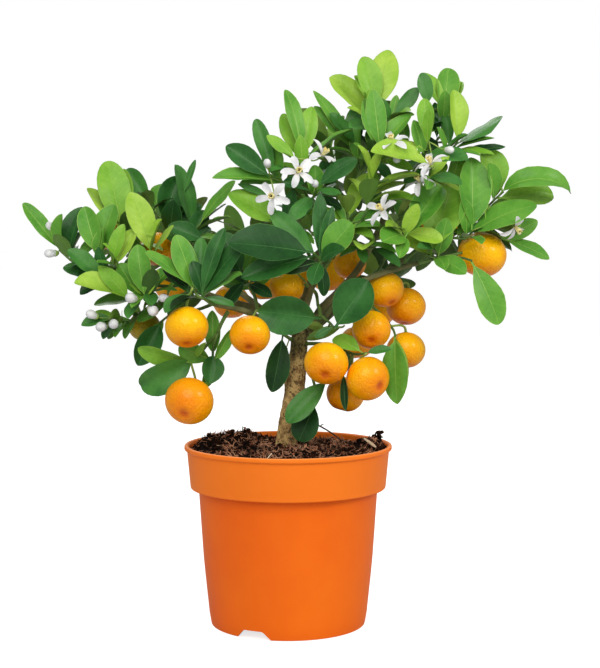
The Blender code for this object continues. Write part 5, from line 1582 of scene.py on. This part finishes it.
TRUNK_SIDES = 72
TRUNK_FINER = 14
BARK_BUMPS = 0.055  # of the radius
FURROWS = 0.05
FURROWS_FROM = 192.0  # height above which the stem is younger, with furrows along it
SCAR_PLACE = (11.6, -5.6, 179.5)  # a pruned twig's rough stub
SCAR_REACH = 4.2
BOUGH_SIDES = 18
BOUGH_FINER = 6


def trunk_relief(point, outward, share):
    """Root lobes at the foot, knobbly bark above, then furrows along the younger stem, and a pruning scar."""
    height = point.z / MM
    foot = max(0.0, 1 - (height - TRUNK[0][2]) / 7)
    lobes = ROOT_LOBE_DEPTH * foot * math.cos(ROOT_LOBES * math.atan2(outward.y, outward.x))
    place = point / MM + outward * 7
    old = 1 / (1 + math.exp((height - FURROWS_FROM) / 3))
    bumps = noise.fractal(place * 0.22, 0.8, 2.2, 4) * BARK_BUMPS * (0.5 + 0.5 * old)
    furrows = noise.noise(Vector((place.x * 0.55, place.y * 0.55, place.z * 0.07))) * FURROWS * (1 - old) * 2
    scar = math.exp(-(((place - Vector(SCAR_PLACE)).length / SCAR_REACH) ** 2))
    knobs = scar * (0.1 + 0.22 * noise.noise(place * 0.9))
    return 1 + lobes + bumps + furrows + knobs


def bough_relief(point, outward, share):
    place = point / MM + outward * 3
    ridges = noise.noise(Vector((place.x * 0.5, place.y * 0.5, place.z * 0.2))) * 0.12
    return 1 + ridges + 0.05 * noise.noise(place * 1.4)


def build_limbs(limbs, bark, young):
    wood = Sheet()
    add_tube(wood, finer(limbs["trunk"], TRUNK_FINER), TRUNK_SIDES, trunk_relief)
    piece("trunk_bark", wood, bark, ["trunk"])
    for name, tube in limbs.items():
        if name != "trunk":
            wood = Sheet()
            add_tube(wood, finer(tube, BOUGH_FINER), BOUGH_SIDES, bough_relief)
            piece(name + "_bark", wood, young, [name])


# Crown

TWIG_SIDES = 8
TWIG_FINER = 3


def stem_to(twigs, end, arriving, radius):
    """A thin stem from the nearest twig to a bud or flower."""
    points = [p for twig in twigs for p in twig.points[1:]]
    root = min(points, key=lambda p: (p - end).length)
    leaving = (end - root + Vector((0, 0, 2 * MM))).normalized()
    return tapered(arch(root, leaving, end, arriving, TWIG_STEPS), radius, radius * 0.8)


def build_crown(grown, finishes):
    """The leaves by tone, their ribs with the rims painted pale as sheen, the twigs, fruit, blossom and buds, each kind
    joined in one piece.
    """
    masses = [mass.name for mass in MASSES]
    blades = {name: Sheet() for name, *_ in GREENS}
    veins = {"pale": Sheet(), "deep": Sheet()}
    twigs, stalks = Sheet(), Sheet()
    peel, green_peel, calyxes = Sheet(), Sheet(), Sheet()
    petals, stamens, cups = Sheet(), Sheet(), Sheet()
    for number, (name, made) in enumerate(grown.items()):
        draw = random.Random(SEED * 77 + number)
        for shade, spray in zip(made["shades"], made["sprays"]):
            for leaf in spray:
                green = GREENS[tone_of(leaf, shade, draw)][0]
                add_leaf(blades[green], veins["pale" if green in PALE_GREENS else "deep"], leaf, draw)
        for tube in made["twigs"]:
            add_tube(twigs, finer(tube, TWIG_FINER), TWIG_SIDES)
        mass = made["mass"]
        for i, fruit in enumerate(mass.fruit):
            turn = fruit_turn(DIMPLE_WAYS.get((name, i)), draw)
            skin = green_peel if (name, i) in UNRIPE else peel
            top = add_fruit(skin, calyxes, fruit, turn, draw)
            arriving = (mm(fruit.centre) - top).normalized()
            root = made["stalks"][i].points[0]
            leaving = (top - root + Vector((0, 0, 4 * MM))).normalized()
            add_tube(stalks, tapered(arch(root, leaving, top, arriving, 8), STALK_RADIUS, STALK_RADIUS * 1.2), TWIG_SIDES)
        for i, blossom in enumerate([*mass.blossom, *MORE_BLOSSOM.get(name, ())]):
            blossom = blossom._replace(face=BLOSSOM_WAYS.get((name, i), blossom.face))
            add_flower(petals, stamens, cups, blossom, draw)
            face = Vector(blossom.face).normalized()
            foot = mm(blossom.centre) - face * 2.4 * MM
            add_tube(stalks, finer(stem_to(made["twigs"], foot, face, 0.6), 2), 6)
        for *place, size in BUDS.get(name, ()):
            centre = mm(place)
            points = [p for twig in made["twigs"] for p in twig.points[1:]]
            root = min(points, key=lambda p: (p - centre).length)
            along = ((centre - root).normalized() + Vector((0, -0.4, 0.3))).normalized()
            add_bud(petals, cups, centre, along, size, draw)
            foot = centre - along * 3.6 * size * MM
            add_tube(stalks, finer(stem_to(made["twigs"], foot, along, 0.55), 2), 6)
    for name, sheet in blades.items():
        piece("leaves_" + name, sheet, finishes["leaf_" + name], masses)
    for name, sheet in veins.items():
        piece("veins_" + name, sheet, finishes["veins_" + name], masses)
    piece("twigs", twigs, finishes["twig"], masses)
    piece("stalks", stalks, finishes["stalk"], masses)
    piece("fruit", peel, finishes["peel"], masses)
    piece("unripe_fruit", green_peel, finishes["unripe"], masses)
    piece("calyxes", calyxes, finishes["stalk"], masses)
    piece("petals", petals, finishes["petal"], masses)
    piece("stamens", stamens, finishes["stamen"], masses)
    piece("flower_cups", cups, finishes["stalk"], masses)


# Node groups


def new_group(name, numbers, colours, outputs):
    group = bpy.data.node_groups.new(name, "ShaderNodeTree")
    for socket in numbers:
        group.interface.new_socket(socket, in_out="INPUT", socket_type="NodeSocketFloat")
    for socket in colours:
        group.interface.new_socket(socket, in_out="INPUT", socket_type="NodeSocketColor")
    for socket, kind in outputs:
        group.interface.new_socket(socket, in_out="OUTPUT", socket_type=kind)
    return group, group.nodes.new("NodeGroupInput"), group.nodes.new("NodeGroupOutput")


def math_node(tree, operation, first, second=None, third=None):
    made = tree.nodes.new("ShaderNodeMath")
    made.operation = operation
    for socket, value in zip(made.inputs, (first, second, third)):
        if isinstance(value, (int, float)):
            socket.default_value = value
        elif value is not None:
            tree.links.new(value, socket)
    return made.outputs[0]


def mix_node(tree, share, first, second, blend="MIX"):
    made = tree.nodes.new("ShaderNodeMix")
    made.data_type = "RGBA"
    made.blend_type = blend
    for socket, value in ((made.inputs["Factor"], share), (made.inputs["A"], first), (made.inputs["B"], second)):
        if isinstance(value, bpy.types.NodeSocket):
            tree.links.new(value, socket)
        elif isinstance(value, tuple):
            socket.default_value = (*value, 1)
        else:
            socket.default_value = value
    return made.outputs["Result"]


def mottle_group():
    """Two colours in soft patches: Scale sets their size, Spread how much they mix, Fleck adds small ones."""
    group, given, out = new_group(
        "mottle", ("Scale", "Spread", "Fleck"), ("Dark", "Light"),
        (("Color", "NodeSocketColor"), ("Value", "NodeSocketFloat")),
    )
    place = group.nodes.new("ShaderNodeTexCoord")
    parts = []
    for factor, detail in ((1.0, 3.0), (6.0, 2.0)):
        cloud = group.nodes.new("ShaderNodeTexNoise")
        cloud.inputs["Detail"].default_value = detail
        group.links.new(place.outputs["Object"], cloud.inputs["Vector"])
        group.links.new(math_node(group, "MULTIPLY", given.outputs["Scale"], factor), cloud.inputs["Scale"])
        parts.append(math_node(group, "SUBTRACT", cloud.outputs["Fac"], 0.5))
    wide = math_node(group, "MULTIPLY", parts[0], given.outputs["Spread"])
    both = math_node(group, "MULTIPLY_ADD", parts[1], given.outputs["Fleck"], wide)
    share = math_node(group, "ADD", both, 0.5)
    clamp = group.nodes.new("ShaderNodeClamp")
    group.links.new(share, clamp.inputs["Value"])
    colour = mix_node(group, clamp.outputs["Result"], given.outputs["Dark"], given.outputs["Light"])
    group.links.new(colour, out.inputs["Color"])
    group.links.new(clamp.outputs["Result"], out.inputs["Value"])
    return group


def grain_group():
    """Height of a rough surface: Coarse and Fine set the scales, Balance the share of the fine one."""
    group, given, out = new_group("grain", ("Coarse", "Fine", "Balance"), (), (("Height", "NodeSocketFloat"),))
    place = group.nodes.new("ShaderNodeTexCoord")
    heights = []
    for scale in ("Coarse", "Fine"):
        cloud = group.nodes.new("ShaderNodeTexNoise")
        cloud.inputs["Detail"].default_value = 4.0
        group.links.new(place.outputs["Object"], cloud.inputs["Vector"])
        group.links.new(given.outputs[scale], cloud.inputs["Scale"])
        heights.append(cloud.outputs["Fac"])
    difference = math_node(group, "SUBTRACT", heights[1], heights[0])
    height = math_node(group, "MULTIPLY_ADD", difference, given.outputs["Balance"], heights[0])
    group.links.new(height, out.inputs["Height"])
    return group


def pore_group():
    """Height of a peel with small round pits, and where they are."""
    group, given, out = new_group(
        "pores", ("Scale", "Width"), (), (("Height", "NodeSocketFloat"), ("Pit", "NodeSocketFloat"))
    )
    place = group.nodes.new("ShaderNodeTexCoord")
    cells = group.nodes.new("ShaderNodeTexVoronoi")
    cells.feature = "SMOOTH_F1"
    cells.inputs["Smoothness"].default_value = 0.35
    group.links.new(place.outputs["Object"], cells.inputs["Vector"])
    group.links.new(given.outputs["Scale"], cells.inputs["Scale"])
    height = group.nodes.new("ShaderNodeMapRange")
    group.links.new(cells.outputs["Distance"], height.inputs["Value"])
    group.links.new(given.outputs["Width"], height.inputs["From Max"])
    group.links.new(height.outputs["Result"], out.inputs["Height"])
    group.links.new(math_node(group, "SUBTRACT", 1.0, height.outputs["Result"]), out.inputs["Pit"])
    return group


def side_vein_group():
    """Side veins of a leaf that slant forward from its midrib: Pairs of them, Slant as far as the edge."""
    group, given, out = new_group("side_veins", ("Pairs", "Slant"), (), (("Line", "NodeSocketFloat"),))
    place = group.nodes.new("ShaderNodeTexCoord")
    split = group.nodes.new("ShaderNodeSeparateXYZ")
    group.links.new(place.outputs["UV"], split.inputs["Vector"])
    aside = math_node(group, "ABSOLUTE", math_node(group, "MULTIPLY_ADD", split.outputs["X"], 2.0, -1.0))
    forward = math_node(group, "MULTIPLY_ADD", aside, math_node(group, "MULTIPLY", given.outputs["Slant"], -1.0), split.outputs["Y"])
    between = math_node(group, "PINGPONG", math_node(group, "MULTIPLY", forward, given.outputs["Pairs"]), 0.5)
    line = group.nodes.new("ShaderNodeMapRange")
    line.inputs["From Max"].default_value = 0.13
    line.inputs["To Min"].default_value = 1.0
    line.inputs["To Max"].default_value = 0.0
    group.links.new(between, line.inputs["Value"])
    inner = math_node(group, "SUBTRACT", 1.0, math_node(group, "POWER", aside, 2.0))
    group.links.new(math_node(group, "MULTIPLY", line.outputs["Result"], inner), out.inputs["Line"])
    return group


def shade_and_navel_group():
    """Where a fruit is painted deeper: painted shade on its lower side, from From downwards, and its navel, partly a
    real scar and partly painted shade in the dimple.
    """
    group, given, out = new_group(
        "ripeness", ("From",), (), (("Low", "NodeSocketFloat"), ("Navel", "NodeSocketFloat"))
    )
    place = group.nodes.new("ShaderNodeTexCoord")
    split = group.nodes.new("ShaderNodeSeparateXYZ")
    group.links.new(place.outputs["UV"], split.inputs["Vector"])
    cloud = group.nodes.new("ShaderNodeTexNoise")
    cloud.inputs["Scale"].default_value = 90.0
    group.links.new(place.outputs["Object"], cloud.inputs["Vector"])
    uneven = math_node(group, "MULTIPLY_ADD", math_node(group, "SUBTRACT", cloud.outputs["Fac"], 0.5), 0.3, split.outputs["Y"])
    low = group.nodes.new("ShaderNodeMapRange")
    low.interpolation_type = "SMOOTHSTEP"
    group.links.new(uneven, low.inputs["Value"])
    group.links.new(given.outputs["From"], low.inputs["From Min"])
    group.links.new(low.outputs["Result"], out.inputs["Low"])
    navel = group.nodes.new("ShaderNodeMapRange")
    navel.interpolation_type = "SMOOTHSTEP"
    navel.inputs["From Min"].default_value = 0.9
    navel.inputs["From Max"].default_value = 0.985
    group.links.new(math_node(group, "MULTIPLY_ADD", math_node(group, "SUBTRACT", cloud.outputs["Fac"], 0.5), 0.08, split.outputs["Y"]), navel.inputs["Value"])
    group.links.new(navel.outputs["Result"], out.inputs["Navel"])
    return group


# Materials


class Finish:
    """A material under way: its tree, its shader, and the groups placed in it."""

    def __init__(self, name, roughness, groups):
        self.made = bpy.data.materials.new(name)
        self.made.use_nodes = True
        self.tree = self.made.node_tree
        self.shader = self.tree.nodes["Principled BSDF"]
        self.shader.inputs["Roughness"].default_value = roughness
        self.groups = groups

    def place(self, group, **values):
        node = self.tree.nodes.new("ShaderNodeGroup")
        node.node_tree = self.groups[group]
        for name, value in values.items():
            node.inputs[name].default_value = (*value, 1) if isinstance(value, tuple) else value
        return node.outputs

    def colour(self, source):
        self.tree.links.new(source, self.shader.inputs["Base Color"])

    def relief(self, source, strength, distance):
        bump = self.tree.nodes.new("ShaderNodeBump")
        bump.inputs["Strength"].default_value = strength
        bump.inputs["Distance"].default_value = distance * MM
        self.tree.links.new(source, bump.inputs["Height"])
        self.tree.links.new(bump.outputs["Normal"], self.shader.inputs["Normal"])

    def rough_where(self, source, low, high):
        span = self.tree.nodes.new("ShaderNodeMapRange")
        span.inputs["To Min"].default_value = low
        span.inputs["To Max"].default_value = high
        self.tree.links.new(source, span.inputs["Value"])
        self.tree.links.new(span.outputs["Result"], self.shader.inputs["Roughness"])

    def height_share(self, low, high):
        """From 0 at height low to 1 at high, in millimetres."""
        place = self.tree.nodes.new("ShaderNodeTexCoord")
        split = self.tree.nodes.new("ShaderNodeSeparateXYZ")
        span = self.tree.nodes.new("ShaderNodeMapRange")
        span.inputs["From Min"].default_value = low * MM
        span.inputs["From Max"].default_value = high * MM
        self.tree.links.new(place.outputs["Object"], split.inputs["Vector"])
        self.tree.links.new(split.outputs["Z"], span.inputs["Value"])
        return span.outputs["Result"]


def leaf_finish(groups, name, dark, light, under):
    """A waxy upper side with paler side veins, and a duller, paler underside."""
    finish = Finish("leaf_" + name, 0.42, groups)
    top = finish.place("mottle", Scale=70.0, Spread=2.6, Fleck=0.6, Dark=dark, Light=light)
    veins = finish.place("side_veins", Pairs=9.0, Slant=0.16)
    line = math_node(finish.tree, "MULTIPLY", veins["Line"], 0.26)
    veined = mix_node(finish.tree, line, top["Color"], tuple(min(1.0, value * 1.25 + 0.01) for value in light))
    below = tuple(value * 0.8 for value in under)
    back = finish.place("mottle", Scale=90.0, Spread=1.6, Fleck=0.4, Dark=below, Light=under)
    side = finish.tree.nodes.new("ShaderNodeNewGeometry").outputs["Backfacing"]
    finish.colour(mix_node(finish.tree, side, veined, back["Color"]))
    finish.shader.inputs["Specular IOR Level"].default_value = 0.2
    finish.shader.inputs["Coat Roughness"].default_value = 0.25
    gloss = math_node(finish.tree, "MULTIPLY_ADD", side, -0.06, 0.07)
    finish.tree.links.new(gloss, finish.shader.inputs["Coat Weight"])
    grain = finish.place("grain", Coarse=260.0, Fine=1500.0, Balance=0.3)
    finish.relief(math_node(finish.tree, "MULTIPLY_ADD", veins["Line"], -0.35, grain["Height"]), 0.3, 0.4)
    return finish.made


def plain_finish(groups, name, dark, light, scale, roughness, spread=2.4, gloss=0.4):
    """A dull natural surface: two mottled colours over a fine grain."""
    finish = Finish(name, roughness, groups)
    tint = finish.place("mottle", Scale=scale, Spread=spread, Fleck=0.8, Dark=dark, Light=light)
    finish.colour(tint["Color"])
    finish.shader.inputs["Specular IOR Level"].default_value = gloss
    height = finish.place("grain", Coarse=300.0, Fine=1400.0, Balance=0.5)
    finish.relief(height["Height"], 0.3, 0.3)
    return finish.made


def peel_finish(groups, name, dark, light, deep, navel):
    """Citrus peel: mottled, with painted shade on its lower side and in its pits, darkest in the navel, partly a real
    scar and partly painted shade in the dimple, pitted with oil glands, under a thin gloss.
    """
    finish = Finish(name, 0.42, groups)
    tint = finish.place("mottle", Scale=26.0, Spread=3.2, Fleck=0.5, Dark=dark, Light=light)
    pores = finish.place("pores", Scale=620.0, Width=0.6)
    shade_marks = finish.place("ripeness", From=0.5)
    # painted shade: the pits and the lower side are mixed towards the deeper orange
    deeper = math_node(finish.tree, "MULTIPLY_ADD", pores["Pit"], 0.07, math_node(finish.tree, "MULTIPLY", shade_marks["Low"], 0.8))
    skin = mix_node(finish.tree, deeper, tint["Color"], deep)
    # the navel: partly a real scar, partly painted shade in the dimple
    finish.colour(mix_node(finish.tree, math_node(finish.tree, "MULTIPLY", shade_marks["Navel"], 0.75), skin, navel))
    finish.shader.inputs["Specular IOR Level"].default_value = 0.12
    finish.shader.inputs["Coat Weight"].default_value = 0.22
    finish.shader.inputs["Coat Roughness"].default_value = 0.16
    finish.relief(pores["Height"], 0.7, 0.5)
    return finish.made


def plastic_finish(groups):
    """Moulded plastic, a little uneven, with a satin skin, painted yellower from its collar up as if more lit, and with
    a painted highlight on top of its lip.
    """
    finish = Finish("pot_plastic_skin", 0.5, groups)
    tint = finish.place("mottle", Scale=12.0, Spread=1.6, Fleck=0.2, Dark=(0.8, 0.115, 0.006), Light=(0.92, 0.185, 0.008))
    # painted highlight: the top of the lip is painted a paler pink-orange
    rim = math_node(finish.tree, "MULTIPLY", finish.height_share(POT_HEIGHT - LIP_HIGHLIGHT_BAND, POT_HEIGHT), 0.8)
    # painted light: from the collar up the plastic is painted yellower, as if the collar caught more light
    foot = POT_HEIGHT - COLLAR_HEIGHT
    collar = math_node(finish.tree, "MULTIPLY", finish.height_share(foot, foot + 1.0), 0.45)
    skin = mix_node(finish.tree, collar, tint["Color"], (0.98, 0.27, 0.025))
    finish.colour(mix_node(finish.tree, rim, skin, (1.0, 0.36, 0.11)))
    finish.shader.inputs["Specular IOR Level"].default_value = 0.12
    grain = finish.place("grain", Coarse=34.0, Fine=900.0, Balance=0.1)
    finish.relief(grain["Height"], 0.15, 0.6)
    finish.rough_where(tint["Value"], 0.44, 0.54)
    return finish.made


def bark_finish(groups):
    """Grey-brown bark with dark specks, turning to streaked green above."""
    finish = Finish("trunk_bark_skin", 0.85, groups)
    old = finish.place("mottle", Scale=150.0, Spread=3.4, Fleck=2.2, Dark=(0.2, 0.11, 0.04), Light=(0.62, 0.43, 0.17))
    young = finish.place("mottle", Scale=120.0, Spread=3.4, Fleck=2.0, Dark=(0.05, 0.055, 0.015), Light=(0.24, 0.21, 0.08))
    share = finish.height_share(187.0, 201.0)
    skin = mix_node(finish.tree, share, old["Color"], young["Color"])
    specks = finish.place("mottle", Scale=420.0, Spread=5.0, Fleck=0.0, Dark=(1, 1, 1), Light=(0, 0, 0))
    dark = math_node(finish.tree, "LESS_THAN", specks["Value"], 0.12)
    finish.colour(mix_node(finish.tree, math_node(finish.tree, "MULTIPLY", dark, 0.75), skin, (0.03, 0.018, 0.012)))
    finish.shader.inputs["Specular IOR Level"].default_value = 0.25
    grain = finish.place("grain", Coarse=330.0, Fine=1300.0, Balance=0.4)
    finish.relief(grain["Height"], 0.8, 1.2)
    return finish.made


def build_finishes():
    groups = {
        "mottle": mottle_group(), "grain": grain_group(), "pores": pore_group(),
        "side_veins": side_vein_group(), "ripeness": shade_and_navel_group(),
    }
    made = {"leaf_" + name: leaf_finish(groups, name, dark, light, under) for name, dark, light, under in GREENS}
    natural = {
        # the ribs' colours, also used for the leaves' pale rims, which are a painted sheen
        "veins_pale": ((0.2, 0.4, 0.05), (0.32, 0.52, 0.09), 60.0, 0.5),
        "veins_deep": ((0.03, 0.13, 0.028), (0.08, 0.24, 0.05), 60.0, 0.5),
        "twig": ((0.045, 0.11, 0.02), (0.14, 0.26, 0.05), 70.0, 0.55),
        "stalk": ((0.16, 0.32, 0.05), (0.36, 0.48, 0.1), 120.0, 0.5),
        "young_bark": ((0.06, 0.085, 0.025), (0.2, 0.2, 0.08), 90.0, 0.75),
        # petal: grey-blue tones on white petals, painted shade
        "petal": ((0.6, 0.62, 0.66), (0.82, 0.83, 0.86), 120.0, 0.5),
        "stamen": ((0.75, 0.62, 0.16), (0.9, 0.85, 0.45), 300.0, 0.6),
        "splinter": ((0.4, 0.27, 0.16), (0.74, 0.62, 0.46), 90.0, 0.7),
        "dry": ((0.02, 0.012, 0.01), (0.07, 0.045, 0.035), 140.0, 0.85),
    }
    for name, (dark, light, scale, roughness) in natural.items():
        made[name] = plain_finish(groups, name + "_skin", dark, light, scale, roughness)
    ground = {
        "soil": ((0.002, 0.001, 0.0006), (0.012, 0.005, 0.003), 160.0),
        "crumb": ((0.002, 0.001, 0.0006), (0.034, 0.012, 0.006), 140.0),
        "pale_crumb": ((0.01, 0.003, 0.002), (0.26, 0.1, 0.05), 110.0),
        "fibre": ((0.006, 0.002, 0.001), (0.55, 0.28, 0.17), 90.0),
        "chip": ((0.012, 0.004, 0.002), (0.36, 0.13, 0.07), 70.0),
    }
    for name, (dark, light, scale) in ground.items():
        made[name] = plain_finish(groups, name + "_skin", dark, light, scale, 0.9, spread=4.2, gloss=0.06)
    made["peel"] = peel_finish(
        groups, "peel_skin", (0.95, 0.35, 0.001), (1.0, 0.55, 0.001), (0.84, 0.18, 0.001), (0.5, 0.06, 0.004)
    )
    made["unripe"] = peel_finish(
        groups, "unripe_skin", (0.36, 0.3, 0.015), (0.66, 0.42, 0.015), (0.24, 0.2, 0.01), (0.12, 0.09, 0.01)
    )
    made["plastic"] = plastic_finish(groups)
    made["bark"] = bark_finish(groups)
    return made


# Studio


def build_floor():
    bm = bmesh.new()
    bmesh.ops.create_grid(bm, x_segments=1, y_segments=1, size=FLOOR_REACH)
    mesh = bpy.data.meshes.new("studio_floor")
    bm.to_mesh(mesh)
    bm.free()
    white = bpy.data.materials.new("floor_paint")
    white.use_nodes = True
    shader = white.node_tree.nodes["Principled BSDF"]
    shader.inputs["Base Color"].default_value = (0.6, 0.6, 0.6, 1)
    shader.inputs["Roughness"].default_value = 0.95
    shader.inputs["Specular IOR Level"].default_value = 0.0
    shader.inputs["Emission Color"].default_value = (1, 1, 1, 1)
    seen = white.node_tree.nodes.new("ShaderNodeLightPath").outputs["Is Camera Ray"]
    glow = math_node(white.node_tree, "MULTIPLY", seen, FLOOR_SEEN)
    white.node_tree.links.new(glow, shader.inputs["Emission Strength"])
    mesh.materials.append(white)
    floor = bpy.data.objects.new("studio_floor", mesh)
    floor.location.z = -0.2 * MM
    bpy.context.scene.collection.objects.link(floor)


def area_light(name, azimuth, elevation, distance, size, power, colour):
    """A round soft light aimed at the crown. Azimuth 0 is the camera's side, and grows to the right."""
    data = bpy.data.lights.new(name, "AREA")
    data.shape = "DISK"
    data.size = size
    data.energy = power
    data.color = colour
    light = bpy.data.objects.new(name, data)
    turn, rise = math.radians(azimuth), math.radians(elevation)
    away = Vector((math.sin(turn) * math.cos(rise), -math.cos(turn) * math.cos(rise), math.sin(rise)))
    light.location = Vector(LIGHT_AIM) * MM + away * distance
    light.rotation_mode = "QUATERNION"
    light.rotation_quaternion = (-away).to_track_quat("-Z", "Y")
    bpy.context.scene.collection.objects.link(light)


def build_light():
    world = bpy.data.worlds.new("studio")
    world.use_nodes = True
    tree = world.node_tree
    soft = tree.nodes["Background"]
    soft.inputs["Color"].default_value = (1, 1, 1, 1)
    seen = tree.nodes.new("ShaderNodeLightPath").outputs["Is Camera Ray"]
    strength = math_node(tree, "MULTIPLY_ADD", seen, 1.0 - WORLD_LIGHT, WORLD_LIGHT)
    tree.links.new(strength, soft.inputs["Strength"])
    bpy.context.scene.world = world
    for light in LIGHTS:
        area_light(*light)
    bpy.context.scene.view_settings.view_transform = "Standard"


def build_camera():
    data = bpy.data.cameras.new("camera")
    data.lens = LENS
    data.sensor_width = SENSOR
    data.sensor_fit = "AUTO"
    camera = bpy.data.objects.new("camera", data)
    camera.location = mm(CAMERA_PLACE)
    camera.rotation_euler = (math.radians(90 - CAMERA_PITCH), 0, 0)
    bpy.context.scene.collection.objects.link(camera)
    bpy.context.scene.camera = camera


def main():
    limbs, crown, grown = grow_plan()
    grow_finer(crown, grown)
    finishes = build_finishes()
    build_pot(finishes["plastic"])
    build_soil(finishes)
    build_limbs(limbs, finishes["bark"], finishes["young_bark"])
    build_crown(grown, finishes)
    build_floor()
    build_light()
    build_camera()


main()
